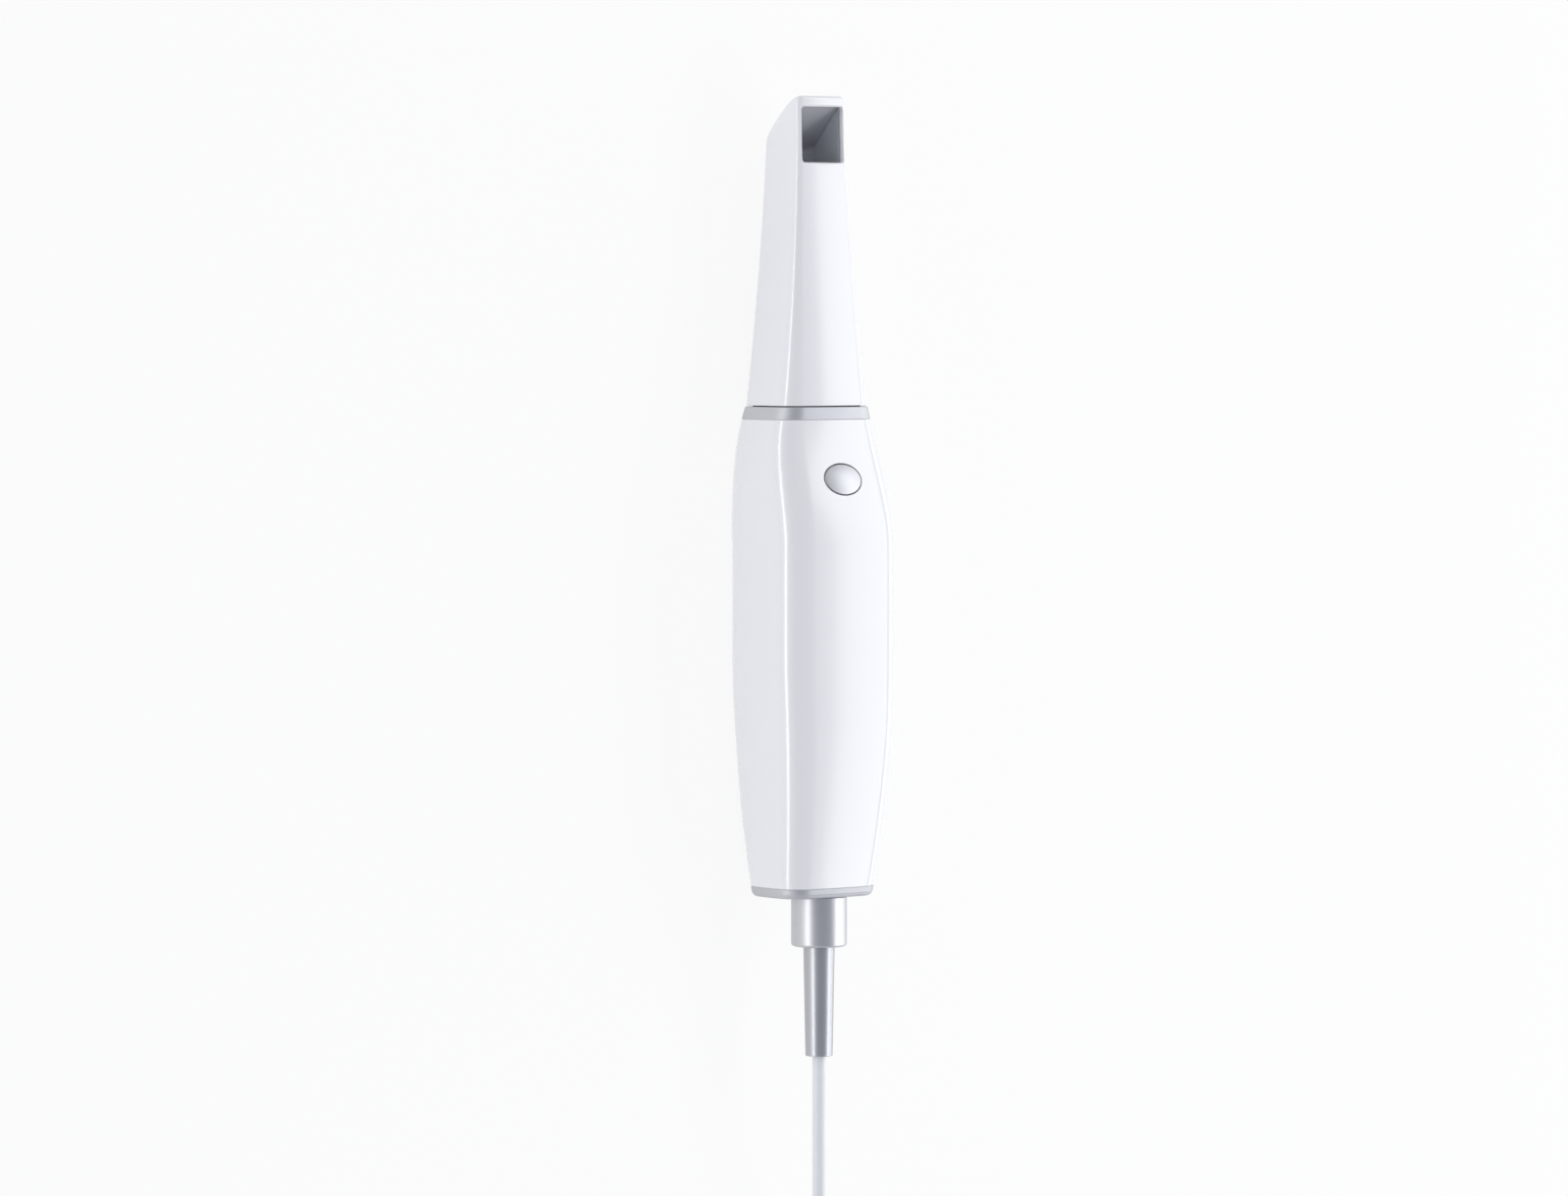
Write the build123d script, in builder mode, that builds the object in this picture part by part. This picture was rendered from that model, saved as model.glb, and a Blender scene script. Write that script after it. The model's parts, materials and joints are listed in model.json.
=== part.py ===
from build123d import *
import os
from math import atan2, cos, pi, radians, sin, tan

os.makedirs("parts", exist_ok=True)

# Handheld intraoral scanner, lying on its back with the scan window up.
# Y runs along the wand towards the tip, X across it, Z up; the cable axis is the datum.

# Lengths along the wand
tip_reach = 83.9
tip_gap = 0.3
collar_width = 3.4
sleeve_length = 126.0
cap_band = 2.7
gland_length = 13.5
relief_length = 29.6

# Handle section at the collar, where it is fullest and at the end cap, from the cable axis
collar_half_width = 15.2
collar_front = 6.7
collar_back = 17.75
collar_corner = 6.0
belly_half_width = 19.9
belly_front = 14.3
belly_back = 19.3
belly_corner = 8.5
end_half_width = 15.5
end_front = 8.5
end_back = 14.5
end_corner = 6.8
handle_crown = 1.0
swell_power = 3
taper_power = 1.7
width_full_at = 45.0
width_taper_at = 65.0
front_full_at = 38.0
front_taper_at = 80.0
back_full_at = 22.0
back_taper_at = 72.0
rest_flat = 0.15
station_spacing = 12.0

# Tip section at the nose; at the collar it is a step slimmer than the collar
nose_half_width = 8.35
nose_front = 1.75
nose_back = 13.7
nose_corner = 1.8
nose_crown = 0.3
tip_step = 0.25
width_flare = 1.75
depth_flare = 1.5
corner_flare = 2.5
nose_flat = 2.15
slant_overrun = 0.6
slant_length = 14.0
slant_drop = 15.55
slant_angle = 45.0
slant_bulge_radius = 60.0
nose_round = 0.9

# Walls and fits
sleeve_wall = 2.2
tip_wall = 1.3
inner_corner = 0.6
fit_gap = 0.1
slide_gap = 0.5
cut_room = 60.0

# Scan window, mirror and light shield in the tip
window_inset = 2.9
window_length = 15.1
window_width = 14.0
window_corner = 1.0
mirror_thickness = 1.0
mirror_width = 13.0
mirror_length = 15.2
liner_wall = 0.6
liner_length = 36.0
liner_rim = 0.3

# Optical nose under the tip
nose_tube_length = 41.0
nose_tube_wall = 1.6
spigot_length = 6.0
flange_lip = 0.9
flange_thickness = 2.0
port_width = 13.0
port_height = 9.0
port_corner = 2.0
pane_thickness = 1.2
pane_rim = 0.8
seal_place = 8.0
seal_width = 1.6
seal_depth = 0.8
seal_proud = 0.3

# Optics
optical_drop = 5.5
bench_width = 26.0
bench_height = 11.4
bench_thickness = 4.0
barrel_spacing = 9.4
barrel_radius = 4.3
barrel_bore = 3.5
barrel_front = 12.0
barrel_overhang = 3.0
lens_radius = 3.9
lens_thickness = 1.6
lens_chamfer = 0.3
optic_board_width = 8.8
optic_board_height = 9.2
optic_board_thickness = 1.2
sensor_side = 4.6
sensor_thickness = 0.9
emitter_radius = 2.0

# Inner frame and electronics
rail_width = 3.0
deck_thickness = 2.0
deck_top_drop = 5.7
deck_front_notch = 6.0
deck_rear_notch = 7.0
standoff_height = 2.0
standoff_radius = 2.3
board_front = 34.0
board_width = 25.0
board_thickness = 1.2
standoff_margin = 3.2
screw_radius = 1.0
screw_head_radius = 1.9
screw_head_height = 1.3
screw_slot_width = 0.5
screw_slot_depth = 0.6
screw_clearance = 0.15
bench_screw_reach = 10.6
bench_screw_rise = 3.6
processor_side = 14.0
processor_thickness = 1.6
processor_place = 24.0
sink_width = 24.0
sink_length = 28.0
sink_base = 2.0
fin_count = 7
fin_height = 4.0
fin_thickness = 1.2
connector_width = 10.0
connector_depth = 6.0
lead_plug_length = 7.0
lead_room = 4.9
lead_plug_shrink = 0.7

# Buttons and switches
button_place = 19.4
button_width = 12.2
button_height = 8.5
button_gap = 0.3
button_proud = 0.55
button_recess = 0.2
dome_radius = 31.0
button_edge = 0.35
button_travel = 0.6
flange_gap = 0.45
button_flange = 1.0
button_flange_lip = 1.3
stem_radius = 2.0
stem_length = 1.5
switch_side = 6.2
switch_height = 2.0
plunger_radius = 1.7
plunger_proud = 0.8
plunger_depth = 1.2
switch_board_thickness = 0.8
switch_board_width = 12.0
switch_board_front = 3.4
switch_board_rear = 6.4
bracket_front = 22.4
bracket_thickness = 3.0

# Status light on the back
light_setback = 30.7
light_radius = 4.35
light_ring = 0.25
light_recess = 0.25
light_chamfer = 0.3
light_flange = 0.8
light_flange_lip = 0.9
light_flange_gap = 0.3
light_board_side = 12.0
light_board_thickness = 1.0
light_chip_side = 3.5
light_chip_height = 1.5
light_post_height = 4.0
light_post_radius = 1.6
light_post_reach = 4.0

# Grip panels in the back
spine_width = 15.4
grip_start = 35.0
grip_sweep = 21.0
grip_control = 2.0
grip_depth = 0.55
grip_fade_from = 92.0
grip_fade_to = 122.0
grip_fade_over = 1.4

# End cap, gland and strain relief
cap_edge = 1.2
cap_plug_length = 6.0
gland_radius = 7.55
gland_edge = 0.9
stem_thread_radius = 4.9
nut_flats = 13.0
nut_height = 3.0
thread_proud = 0.5
socket_radius = 5.2
socket_depth = 8.0
relief_start_radius = 4.25
relief_end_radius = 3.7

# Cable, coil, tie and plug
cable_radius = 1.8
arc_share = 0.45
turn_pitch = 3.9
coil_mid_radius = 21.5
coil_columns = 3
coil_layers = 4
coil_edge = 1.6
tie_width = 8.0
tie_thickness = 0.6
tie_corner = 1.8
run_points = [
    (0.0, -129.55, 19.15),
    (0.0, -146.0, 19.15),
    (2.4, -164.0, 16.0),
    (7.2, -182.0, 9.9),
    (15.2, -198.0, 3.3),
    (17.5, -212.0, 2.4),
]
tail_points = [
    (17.5, -212.0, 14.2),
    (17.5, -224.0, 13.6),
    (16.5, -237.0, 9.6),
    (14.0, -249.0, 4.2),
    (14.0, -260.0, 4.2),
]
plug_relief_length = 8.0
plug_relief_radius = 2.8
plug_body_length = 22.0
plug_body_width = 15.4
plug_body_height = 8.4
plug_body_corner = 2.0
plug_shell_length = 18.5
plug_shell_width = 12.0
plug_shell_height = 4.5
plug_shell_wall = 0.4
plug_tongue_height = 1.9
plug_tongue_setback = 0.8

# Worked out from the sizes above
handle_length = collar_width + sleeve_length + cap_band
tail_length = handle_length + gland_length + relief_length
collar_y = (tail_length - tip_reach) / 2
axis_height = belly_back - rest_flat
optics_height = -optical_drop
spigot_end = collar_width + spigot_length
bench_front = spigot_end + flange_thickness
bench_rear = bench_front + bench_thickness
barrel_rear = bench_rear + barrel_overhang
cap_front = collar_width + sleeve_length
cap_plug_front = cap_front - cap_plug_length
light_place = cap_front - light_setback
gland_end = handle_length + gland_length
deck_top = -deck_top_drop
deck_bottom = deck_top - deck_thickness
board_bottom = deck_top + standoff_height
board_top = board_bottom + board_thickness
gland_front = cap_plug_front - nut_height - thread_proud
board_rear = gland_front - lead_room - lead_plug_length
board_length = board_rear - board_front
frame_width = bench_width
tip_inset = tip_wall + slide_gap
nose_inside = tip_inset + nose_tube_wall
barrel_side = barrel_spacing / 2


def along(distance):
    """Y of a place this far in front of the collar face; places behind it are negative."""
    return collar_y + distance


def cross_plane(distance):
    """Plane across the wand at this distance in front of the collar, its normal to the cable."""
    return Plane((0, along(distance), axis_height), x_dir=(1, 0, 0), z_dir=(0, -1, 0))


side_plane = Plane((0, collar_y, axis_height), x_dir=(0, 1, 0), z_dir=(1, 0, 0))


def rounded_section(distance, half_width, front, back, corner, crown):
    """Sketch across the wand: a rectangle with round corners and gently domed sides."""
    side, top, bottom = half_width - crown, front - crown, crown - back
    middle = (top + bottom) / 2
    with BuildSketch(cross_plane(distance)) as section:
        with BuildLine():
            ThreePointArc((-side, top), (0, front), (side, top))
            ThreePointArc((side, top), (half_width, middle), (side, bottom))
            ThreePointArc((side, bottom), (0, -back), (-side, bottom))
            ThreePointArc((-side, bottom), (-half_width, middle), (-side, top))
        make_face()
        fillet(section.vertices(), max(corner, inner_corner))
    return section.sketch


def swell(distance, full_at):
    """Share of the way from the collar size to the fullest size, quick at first."""
    return 1 - (1 - min(distance / full_at, 1)) ** swell_power


def taper(distance, taper_at):
    """Share of the way from the fullest size to the end size."""
    return max(0, (distance - taper_at) / (handle_length - taper_at)) ** taper_power


def handle_half_width(distance):
    rise = (belly_half_width - collar_half_width) * swell(distance, width_full_at)
    fall = (belly_half_width - end_half_width) * taper(distance, width_taper_at)
    return collar_half_width + rise - fall


def handle_front(distance):
    share = min(distance / front_full_at, 1)
    rise = (belly_front - collar_front) * share**2 * (3 - 2 * share)
    fall = (belly_front - end_front) * taper(distance, front_taper_at)
    return collar_front + rise - fall


def handle_back(distance):
    rise = (belly_back - collar_back) * swell(distance, back_full_at)
    fall = (belly_back - end_back) * taper(distance, back_taper_at)
    return collar_back + rise - fall


def handle_corner(distance):
    rise = (belly_corner - collar_corner) * swell(distance, width_full_at)
    fall = (belly_corner - end_corner) * taper(distance, width_taper_at)
    return collar_corner + rise - fall


def handle_section(distance, inset=0, sink=0):
    """Section of the handle behind the collar; sink lowers the back and widens the sides."""
    return rounded_section(
        -distance,
        handle_half_width(distance) - inset + sink,
        handle_front(distance) - inset,
        handle_back(distance) - inset - sink,
        handle_corner(distance) - inset,
        handle_crown,
    )


def tip_section(distance, inset=0):
    """Section of the tip in front of the collar, slimmer by the inset on every side."""
    share = max(0, 1 - distance / tip_reach)

    def flare(nose, collar, power):
        return nose + (collar - tip_step - nose) * share**power

    return rounded_section(
        distance,
        flare(nose_half_width, collar_half_width, width_flare) - inset,
        flare(nose_front, collar_front, depth_flare) - inset,
        flare(nose_back, collar_back, depth_flare) - inset,
        flare(nose_corner, collar_corner, corner_flare) - inset,
        flare(nose_crown, handle_crown, width_flare),
    )


def spaced(start, end):
    """Places from start to end, evenly spaced."""
    steps = max(2, round(abs(end - start) / station_spacing))
    return [start + (end - start) * step / steps for step in range(steps + 1)]


def slab(front, length):
    """Block across the whole wand, from this distance behind the collar towards the cable."""
    with BuildPart() as block:
        with BuildSketch(cross_plane(-front)):
            Rectangle(cut_room * 2, cut_room * 2)
        extrude(amount=length)
    return block.part


def disc(distance, radius, length, place=(0, 0)):
    """Round bar along the wand, from this distance behind the collar towards the cable."""
    with BuildPart() as bar:
        with BuildSketch(cross_plane(-distance)):
            with Locations(place):
                Circle(radius)
        extrude(amount=length)
    return bar.part


def save(piece, name):
    piece.part.label = name
    export_step(piece.part, f"parts/{name}.step")


# Outer body, cavity and plug shape of the handle
handle_places = spaced(0, handle_length)
with BuildPart() as handle_blank:
    loft([handle_section(place) for place in handle_places])
    split(bisect_by=Plane.XY, keep=Keep.TOP)
with BuildPart() as handle_cavity:
    loft([handle_section(place, sleeve_wall) for place in handle_places])
with BuildPart() as plug_blank:
    loft([handle_section(place, sleeve_wall + fit_gap) for place in handle_places])


def grip_sink(distance):
    """Depth of the grip panels, which runs out towards the end cap."""
    share = (distance - grip_fade_from) / (grip_fade_to - grip_fade_from)
    return grip_depth * (1 - grip_fade_over * min(max(share, 0), 1))


# Grip panels: what lies outside a lowered copy of the back, on each side of the spine
with BuildPart() as grip_recess:
    with BuildSketch(Plane.XY):
        with BuildLine():
            side_point = (cut_room, along(-grip_start))
            edge_point = (belly_half_width, along(-grip_start))
            sweep_point = (spine_width / 2, along(-grip_start - grip_sweep))
            end_point = (spine_width / 2, along(-handle_length))
            Line(side_point, edge_point)
            control_point = (spine_width / 2, along(-grip_start - grip_control))
            Bezier(edge_point, control_point, sweep_point)
            Line(sweep_point, end_point)
            Polyline(end_point, (cut_room, along(-handle_length)), side_point)
        make_face()
        mirror(about=Plane.YZ)
    extrude(amount=axis_height)
    sunk = loft([handle_section(d, 0, grip_sink(d)) for d in handle_places], mode=Mode.PRIVATE)
    add(sunk, mode=Mode.SUBTRACT)

# Button planes on the front and back of the handle
front_slope = handle_front(button_place + fit_gap) - handle_front(button_place - fit_gap)
front_tilt = atan2(front_slope, 2 * fit_gap)
front_button_plane = Plane(
    (0, along(-button_place), axis_height + handle_front(button_place)),
    x_dir=(1, 0, 0),
    z_dir=(0, sin(front_tilt), cos(front_tilt)),
)
back_button_plane = Plane((0, along(-button_place), 0), x_dir=(1, 0, 0), z_dir=(0, 0, -1))
light_slope = handle_back(light_place + fit_gap) - handle_back(light_place - fit_gap)
light_tilt = atan2(light_slope, 2 * fit_gap)
light_plane = Plane(
    (0, along(-light_place), axis_height - handle_back(light_place)),
    x_dir=(1, 0, 0),
    z_dir=(0, sin(light_tilt), -cos(light_tilt)),
)

# Handle sleeve with its button and light openings
with BuildPart() as handle_sleeve:
    add(handle_blank.part)
    add(slab(collar_width, sleeve_length), mode=Mode.INTERSECT)
    add(handle_cavity.part, mode=Mode.SUBTRACT)
    add(grip_recess.part, mode=Mode.SUBTRACT)
    for button_plane in (front_button_plane, back_button_plane):
        with BuildSketch(button_plane):
            Ellipse(button_width / 2 + button_gap, button_height / 2 + button_gap)
        extrude(amount=sleeve_wall * 2, both=True, mode=Mode.SUBTRACT)
    with BuildSketch(light_plane):
        Circle(light_radius + light_ring)
    extrude(amount=sleeve_wall * 2, both=True, mode=Mode.SUBTRACT)
save(handle_sleeve, "handle_sleeve")

# Collar ring: a band flush with the sleeve, a spigot inside it and the port for the optical nose
port_sketch = tip_section(0, tip_inset - fit_gap)
with BuildPart() as collar_band:
    add(handle_blank.part)
    add(slab(0, collar_width), mode=Mode.INTERSECT)
with BuildPart() as collar_ring:
    add(plug_blank.part)
    add(slab(collar_width, spigot_length), mode=Mode.INTERSECT)
    add(collar_band.part)
    extrude(port_sketch, amount=spigot_end, mode=Mode.SUBTRACT)
save(collar_ring, "collar_ring")

# End cap: a band flush with the sleeve and a plug inside it, bored for the gland
with BuildPart() as cap_blank:
    add(handle_blank.part)
    add(slab(cap_front, cap_band), mode=Mode.INTERSECT)
    fillet(cap_blank.faces().sort_by(Axis.Y)[0].edges(), cap_edge)
with BuildPart() as end_cap:
    add(plug_blank.part)
    add(slab(cap_plug_front, cap_plug_length), mode=Mode.INTERSECT)
    add(cap_blank.part)
    add(disc(cap_plug_front, stem_thread_radius + fit_gap, cap_plug_length + cap_band), mode=Mode.SUBTRACT)
save(end_cap, "end_cap")

# Mirror tip
slant_rise = sin(radians(slant_angle))
slant_run = cos(radians(slant_angle))
slant_plane = Plane(
    (0, along(tip_reach), axis_height + nose_front - nose_flat),
    x_dir=(1, 0, 0),
    z_dir=(0, slant_rise, -slant_run),
)
tip_places = spaced(tip_gap, tip_reach)
with BuildPart() as tip_blank:
    loft([tip_section(place) for place in tip_places])
    with BuildSketch(side_plane):
        with BuildLine():
            slant_lead = slant_overrun * slant_drop / slant_length
            slant_top = (tip_reach + slant_overrun, nose_front - nose_flat + slant_lead)
            slant_foot = (slant_top[0] - slant_length, slant_top[1] - slant_drop)
            RadiusArc(slant_top, slant_foot, slant_bulge_radius)
            Polyline(slant_foot, (slant_foot[0], -cut_room), (slant_top[0], -cut_room), slant_top)
        make_face()
    extrude(amount=cut_room, both=True, mode=Mode.SUBTRACT)
    slant_face = tip_blank.faces().filter_by(GeomType.CYLINDER).sort_by(SortBy.AREA)[-1]
    nose_face = tip_blank.faces().sort_by(Axis.Y)[-1]
    fillet(slant_face.edges() + nose_face.edges(), nose_round)


def tip_inside(inset, start, end, slant_inset):
    """Inside of the tip, slimmer by the inset and closed by a slant parallel to the mirror."""
    with BuildPart() as inside:
        loft([tip_section(place, inset) for place in spaced(start, end)])
        with BuildSketch(slant_plane.offset(-slant_inset)):
            Rectangle(cut_room * 2, cut_room * 2)
        extrude(amount=cut_room, mode=Mode.SUBTRACT)
    return inside.part


window_middle = tip_reach - window_inset - window_length / 2
window_plane = Plane((0, along(window_middle), axis_height - optical_drop / 2))
with BuildPart() as tip_shell:
    add(tip_blank.part)
    add(tip_inside(tip_wall, 0, tip_reach - tip_wall, tip_wall), mode=Mode.SUBTRACT)
    with BuildSketch(window_plane):
        RectangleRounded(window_width, window_length, window_corner)
    extrude(amount=cut_room, mode=Mode.SUBTRACT)
save(tip_shell, "tip_shell")

with BuildPart() as tip_mirror:
    with BuildSketch(slant_plane.offset(-tip_wall - mirror_thickness)):
        with Locations((0, tip_wall + mirror_length / 2)):
            Rectangle(mirror_width, mirror_length)
    extrude(amount=mirror_thickness)
save(tip_mirror, "tip_mirror")

liner_slant = tip_wall + mirror_thickness + fit_gap
liner_inset = tip_wall + fit_gap
liner_start = tip_reach - tip_wall - liner_length
liner_end = tip_reach - tip_wall - fit_gap
liner_rim_plane = Plane((0, along(window_middle + window_inset / 2), axis_height - liner_rim))
with BuildPart() as tip_liner:
    add(tip_inside(liner_inset, liner_start, liner_end, liner_slant))
    add(tip_inside(liner_inset + liner_wall, liner_start - fit_gap, liner_end, liner_slant), mode=Mode.SUBTRACT)
    with BuildSketch(liner_rim_plane):
        Rectangle(cut_room, window_length + window_inset)
    extrude(amount=cut_room, mode=Mode.SUBTRACT)
save(tip_liner, "tip_liner")

# Optical nose: a tapered tube that the tip slides over, with a root in the collar and a flange
nose_root = tip_section(0, tip_inset)
nose_bore = tip_section(0, nose_inside)
nose_flange = tip_section(0, tip_inset - flange_lip).moved(Location((0, -spigot_end, 0)))
nose_bottom = nose_tube_length - nose_tube_wall - pane_thickness
seal_outer = tip_section(seal_place, tip_wall + seal_proud)
seal_inner = tip_section(seal_place, tip_inset + seal_depth)
with BuildPart() as optical_nose:
    loft([tip_section(place, tip_inset) for place in spaced(0, nose_tube_length)])
    extrude(seal_outer, amount=seal_width, mode=Mode.SUBTRACT)
    extrude(seal_inner, amount=seal_width)
    extrude(nose_root, amount=spigot_end)
    extrude(nose_flange, amount=flange_thickness)
    loft([tip_section(place, nose_inside) for place in spaced(0, nose_bottom)], mode=Mode.SUBTRACT)
    extrude(nose_bore, amount=bench_front, mode=Mode.SUBTRACT)
    with BuildSketch(cross_plane(nose_tube_length)):
        with Locations((0, optics_height)):
            RectangleRounded(port_width, port_height, port_corner)
    extrude(amount=nose_tube_length, mode=Mode.SUBTRACT)
    with BuildSketch(cross_plane(nose_tube_length)):
        with Locations((0, optics_height)):
            RectangleRounded(port_width + pane_rim * 2, port_height + pane_rim * 2, port_corner)
    extrude(amount=pane_thickness, mode=Mode.SUBTRACT)
save(optical_nose, "optical_nose")

with BuildPart() as nose_pane:
    with BuildSketch(cross_plane(nose_tube_length)):
        with Locations((0, optics_height)):
            RectangleRounded(port_width + pane_rim * 2, port_height + pane_rim * 2, port_corner)
    extrude(amount=pane_thickness)
save(nose_pane, "nose_pane")

with BuildPart() as nose_seal:
    extrude(seal_outer, amount=seal_width)
    extrude(seal_inner, amount=seal_width, mode=Mode.SUBTRACT)
save(nose_seal, "nose_seal")

# Optical bench with the camera and projector barrels
barrel_places = [(-barrel_side, optics_height), (barrel_side, optics_height)]
bench_screw_height = optics_height + bench_screw_rise
bench_screw_places = [(-bench_screw_reach, bench_screw_height), (bench_screw_reach, bench_screw_height)]
with BuildPart() as optical_bench:
    with BuildSketch(cross_plane(-bench_front)):
        with Locations((0, optics_height)):
            Rectangle(bench_width, bench_height)
        with Locations(*barrel_places):
            Circle(barrel_radius + fit_gap, mode=Mode.SUBTRACT)
        with Locations(*bench_screw_places):
            Circle(screw_radius + screw_clearance, mode=Mode.SUBTRACT)
    extrude(amount=bench_thickness)
save(optical_bench, "optical_bench")

for optic, place in zip(("camera", "projector"), barrel_places):
    with BuildPart() as barrel:
        add(disc(-barrel_front, barrel_radius, barrel_front + barrel_rear, place))
        add(disc(-barrel_front, barrel_bore, barrel_front + barrel_rear, place), mode=Mode.SUBTRACT)
        seat = disc(-barrel_front, lens_radius + fit_gap, lens_thickness, place)
        add(seat, mode=Mode.SUBTRACT)
    save(barrel, f"{optic}_barrel")
    with BuildPart() as lens:
        add(disc(-barrel_front, lens_radius, lens_thickness, place))
        chamfer(lens.edges().group_by(Axis.Y)[-1], lens_chamfer)
    save(lens, f"{optic}_lens")
    with BuildPart() as optic_board:
        with BuildSketch(cross_plane(-barrel_rear)):
            with Locations(place):
                Rectangle(optic_board_width, optic_board_height)
        extrude(amount=optic_board_thickness)
    save(optic_board, f"{optic}_board")

with BuildPart() as image_sensor:
    with BuildSketch(cross_plane(sensor_thickness - barrel_rear)):
        with Locations(barrel_places[0]):
            Rectangle(sensor_side, sensor_side)
    extrude(amount=sensor_thickness)
save(image_sensor, "image_sensor")

with BuildPart() as projector_emitter:
    add(disc(barrel_rear - sensor_thickness, emitter_radius, sensor_thickness, barrel_places[1]))
save(projector_emitter, "projector_emitter")

# Inner frame: two rails and a deck that carry the boards between the bench and the end cap
deck_middle = (deck_top + deck_bottom) / 2
frame_length = cap_plug_front - bench_rear
notch_width = frame_width - rail_width * 2
standoff_columns = (-board_width / 2 + standoff_margin, board_width / 2 - standoff_margin)
standoff_rows = (board_front + standoff_margin, board_rear - standoff_margin)
standoff_places = [(x, along(-row)) for row in standoff_rows for x in standoff_columns]
deck_plane = Plane.XY.offset(axis_height + deck_top)
under_deck_plane = Plane((0, 0, axis_height + deck_bottom), x_dir=(1, 0, 0), z_dir=(0, 0, -1))
switch_drop = sleeve_wall + flange_gap + button_flange + stem_length + plunger_proud
switch_board_drop = switch_drop + switch_height
bracket_drop = switch_board_drop + switch_board_thickness
bracket_origin = front_button_plane.offset(-bracket_drop).origin
back_board_top = bracket_drop
light_board_height = deck_bottom - light_post_height
light_y = along(-light_place)


def bracket_height(distance):
    """Height of the front switch board's underside above the cable axis."""
    run = bracket_origin.Y - along(-distance)
    return bracket_origin.Z - axis_height + run * tan(front_tilt)


with BuildPart() as inner_frame:
    with BuildSketch(cross_plane(-bench_rear)):
        with Locations((0, deck_middle)):
            Rectangle(frame_width, deck_thickness)
    extrude(amount=frame_length)
    with BuildSketch(deck_plane):
        with Locations((0, along(-bench_rear - deck_front_notch / 2))):
            Rectangle(notch_width, deck_front_notch)
        with Locations((0, along(-cap_plug_front + deck_rear_notch / 2))):
            Rectangle(notch_width, deck_rear_notch)
    extrude(amount=-deck_thickness, mode=Mode.SUBTRACT)
    with BuildSketch(deck_plane):
        with Locations(*standoff_places):
            Circle(standoff_radius)
    extrude(amount=standoff_height)
    with BuildSketch(deck_plane):
        with Locations(*standoff_places):
            Circle(screw_radius + screw_clearance)
    extrude(amount=deck_thickness, both=True, mode=Mode.SUBTRACT)
    with BuildSketch(side_plane):
        with BuildLine():
            bracket_rear = bracket_front + bracket_thickness
            Polyline(
                (-bracket_front, deck_top),
                (-bracket_rear, deck_top),
                (-bracket_rear, bracket_height(bracket_rear)),
                (-bracket_front, bracket_height(bracket_front)),
                close=True,
            )
        make_face()
    extrude(amount=switch_board_width / 2, both=True)
    with BuildSketch(under_deck_plane):
        with Locations((0, -along(-bracket_front - bracket_thickness / 2))):
            Rectangle(switch_board_width, bracket_thickness)
    extrude(amount=axis_height + deck_bottom - back_board_top)
    with BuildSketch(under_deck_plane):
        with Locations((-light_post_reach, -light_y), (light_post_reach, -light_y)):
            Circle(light_post_radius)
    extrude(amount=light_post_height)
save(inner_frame, "inner_frame")

# Main board, processor, heat sink and cable connector
board_plane = Plane.XY.offset(axis_height + board_bottom)
board_middle = along(-board_front - board_length / 2)
with BuildPart() as main_board:
    with BuildSketch(board_plane):
        with Locations((0, board_middle)):
            Rectangle(board_width, board_length)
        with Locations(*standoff_places):
            Circle(screw_radius + screw_clearance, mode=Mode.SUBTRACT)
    extrude(amount=board_thickness)
save(main_board, "main_board")

processor_y = along(-board_front - processor_place)
with BuildPart() as processor:
    with BuildSketch(Plane.XY.offset(axis_height + board_top)):
        with Locations((0, processor_y)):
            Rectangle(processor_side, processor_side)
    extrude(amount=processor_thickness)
save(processor, "processor")

sink_plane = Plane.XY.offset(axis_height + board_top + processor_thickness)
fin_pitch = (sink_width - fin_thickness) / (fin_count - 1)
with BuildPart() as heat_sink:
    with BuildSketch(sink_plane):
        with Locations((0, processor_y)):
            Rectangle(sink_width, sink_length)
    extrude(amount=sink_base)
    with BuildSketch(sink_plane.offset(sink_base)):
        with Locations((0, processor_y)):
            with GridLocations(fin_pitch, 0, fin_count, 1):
                Rectangle(fin_thickness, sink_length)
    extrude(amount=fin_height)
save(heat_sink, "heat_sink")

connector_height = -board_top * 2
with BuildPart() as board_connector:
    with BuildSketch(cross_plane(connector_depth - board_rear)):
        Rectangle(connector_width, connector_height)
    extrude(amount=connector_depth)
save(board_connector, "board_connector")

with BuildPart() as lead_plug:
    with BuildSketch(cross_plane(-board_rear)):
        Rectangle(connector_width - lead_plug_shrink * 2, connector_height - lead_plug_shrink * 2)
    extrude(amount=lead_plug_length)
save(lead_plug, "lead_plug")


def screw(head_plane, length):
    """Small slotted screw: its head stands on the plane and its shank goes below it."""
    with BuildPart() as fastener:
        with BuildSketch(head_plane):
            Circle(screw_head_radius)
        extrude(amount=screw_head_height)
        with BuildSketch(head_plane):
            Circle(screw_radius)
        extrude(amount=-length)
        with BuildSketch(head_plane.offset(screw_head_height)):
            Rectangle(screw_head_radius * 2, screw_slot_width)
        extrude(amount=-screw_slot_depth, mode=Mode.SUBTRACT)
    return fastener


for number, (x, y) in enumerate(standoff_places, start=1):
    board_screw = screw(Plane((x, y, axis_height + board_top)), board_thickness + standoff_height)
    save(board_screw, f"board_screw_{number}")

for number, (x, height) in enumerate(bench_screw_places, start=1):
    rear_plane = cross_plane(-bench_rear)
    head_plane = Plane(rear_plane.from_local_coords((x, height, 0)), x_dir=(1, 0, 0), z_dir=(0, -1, 0))
    save(screw(head_plane, bench_thickness), f"bench_screw_{number}")

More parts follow.
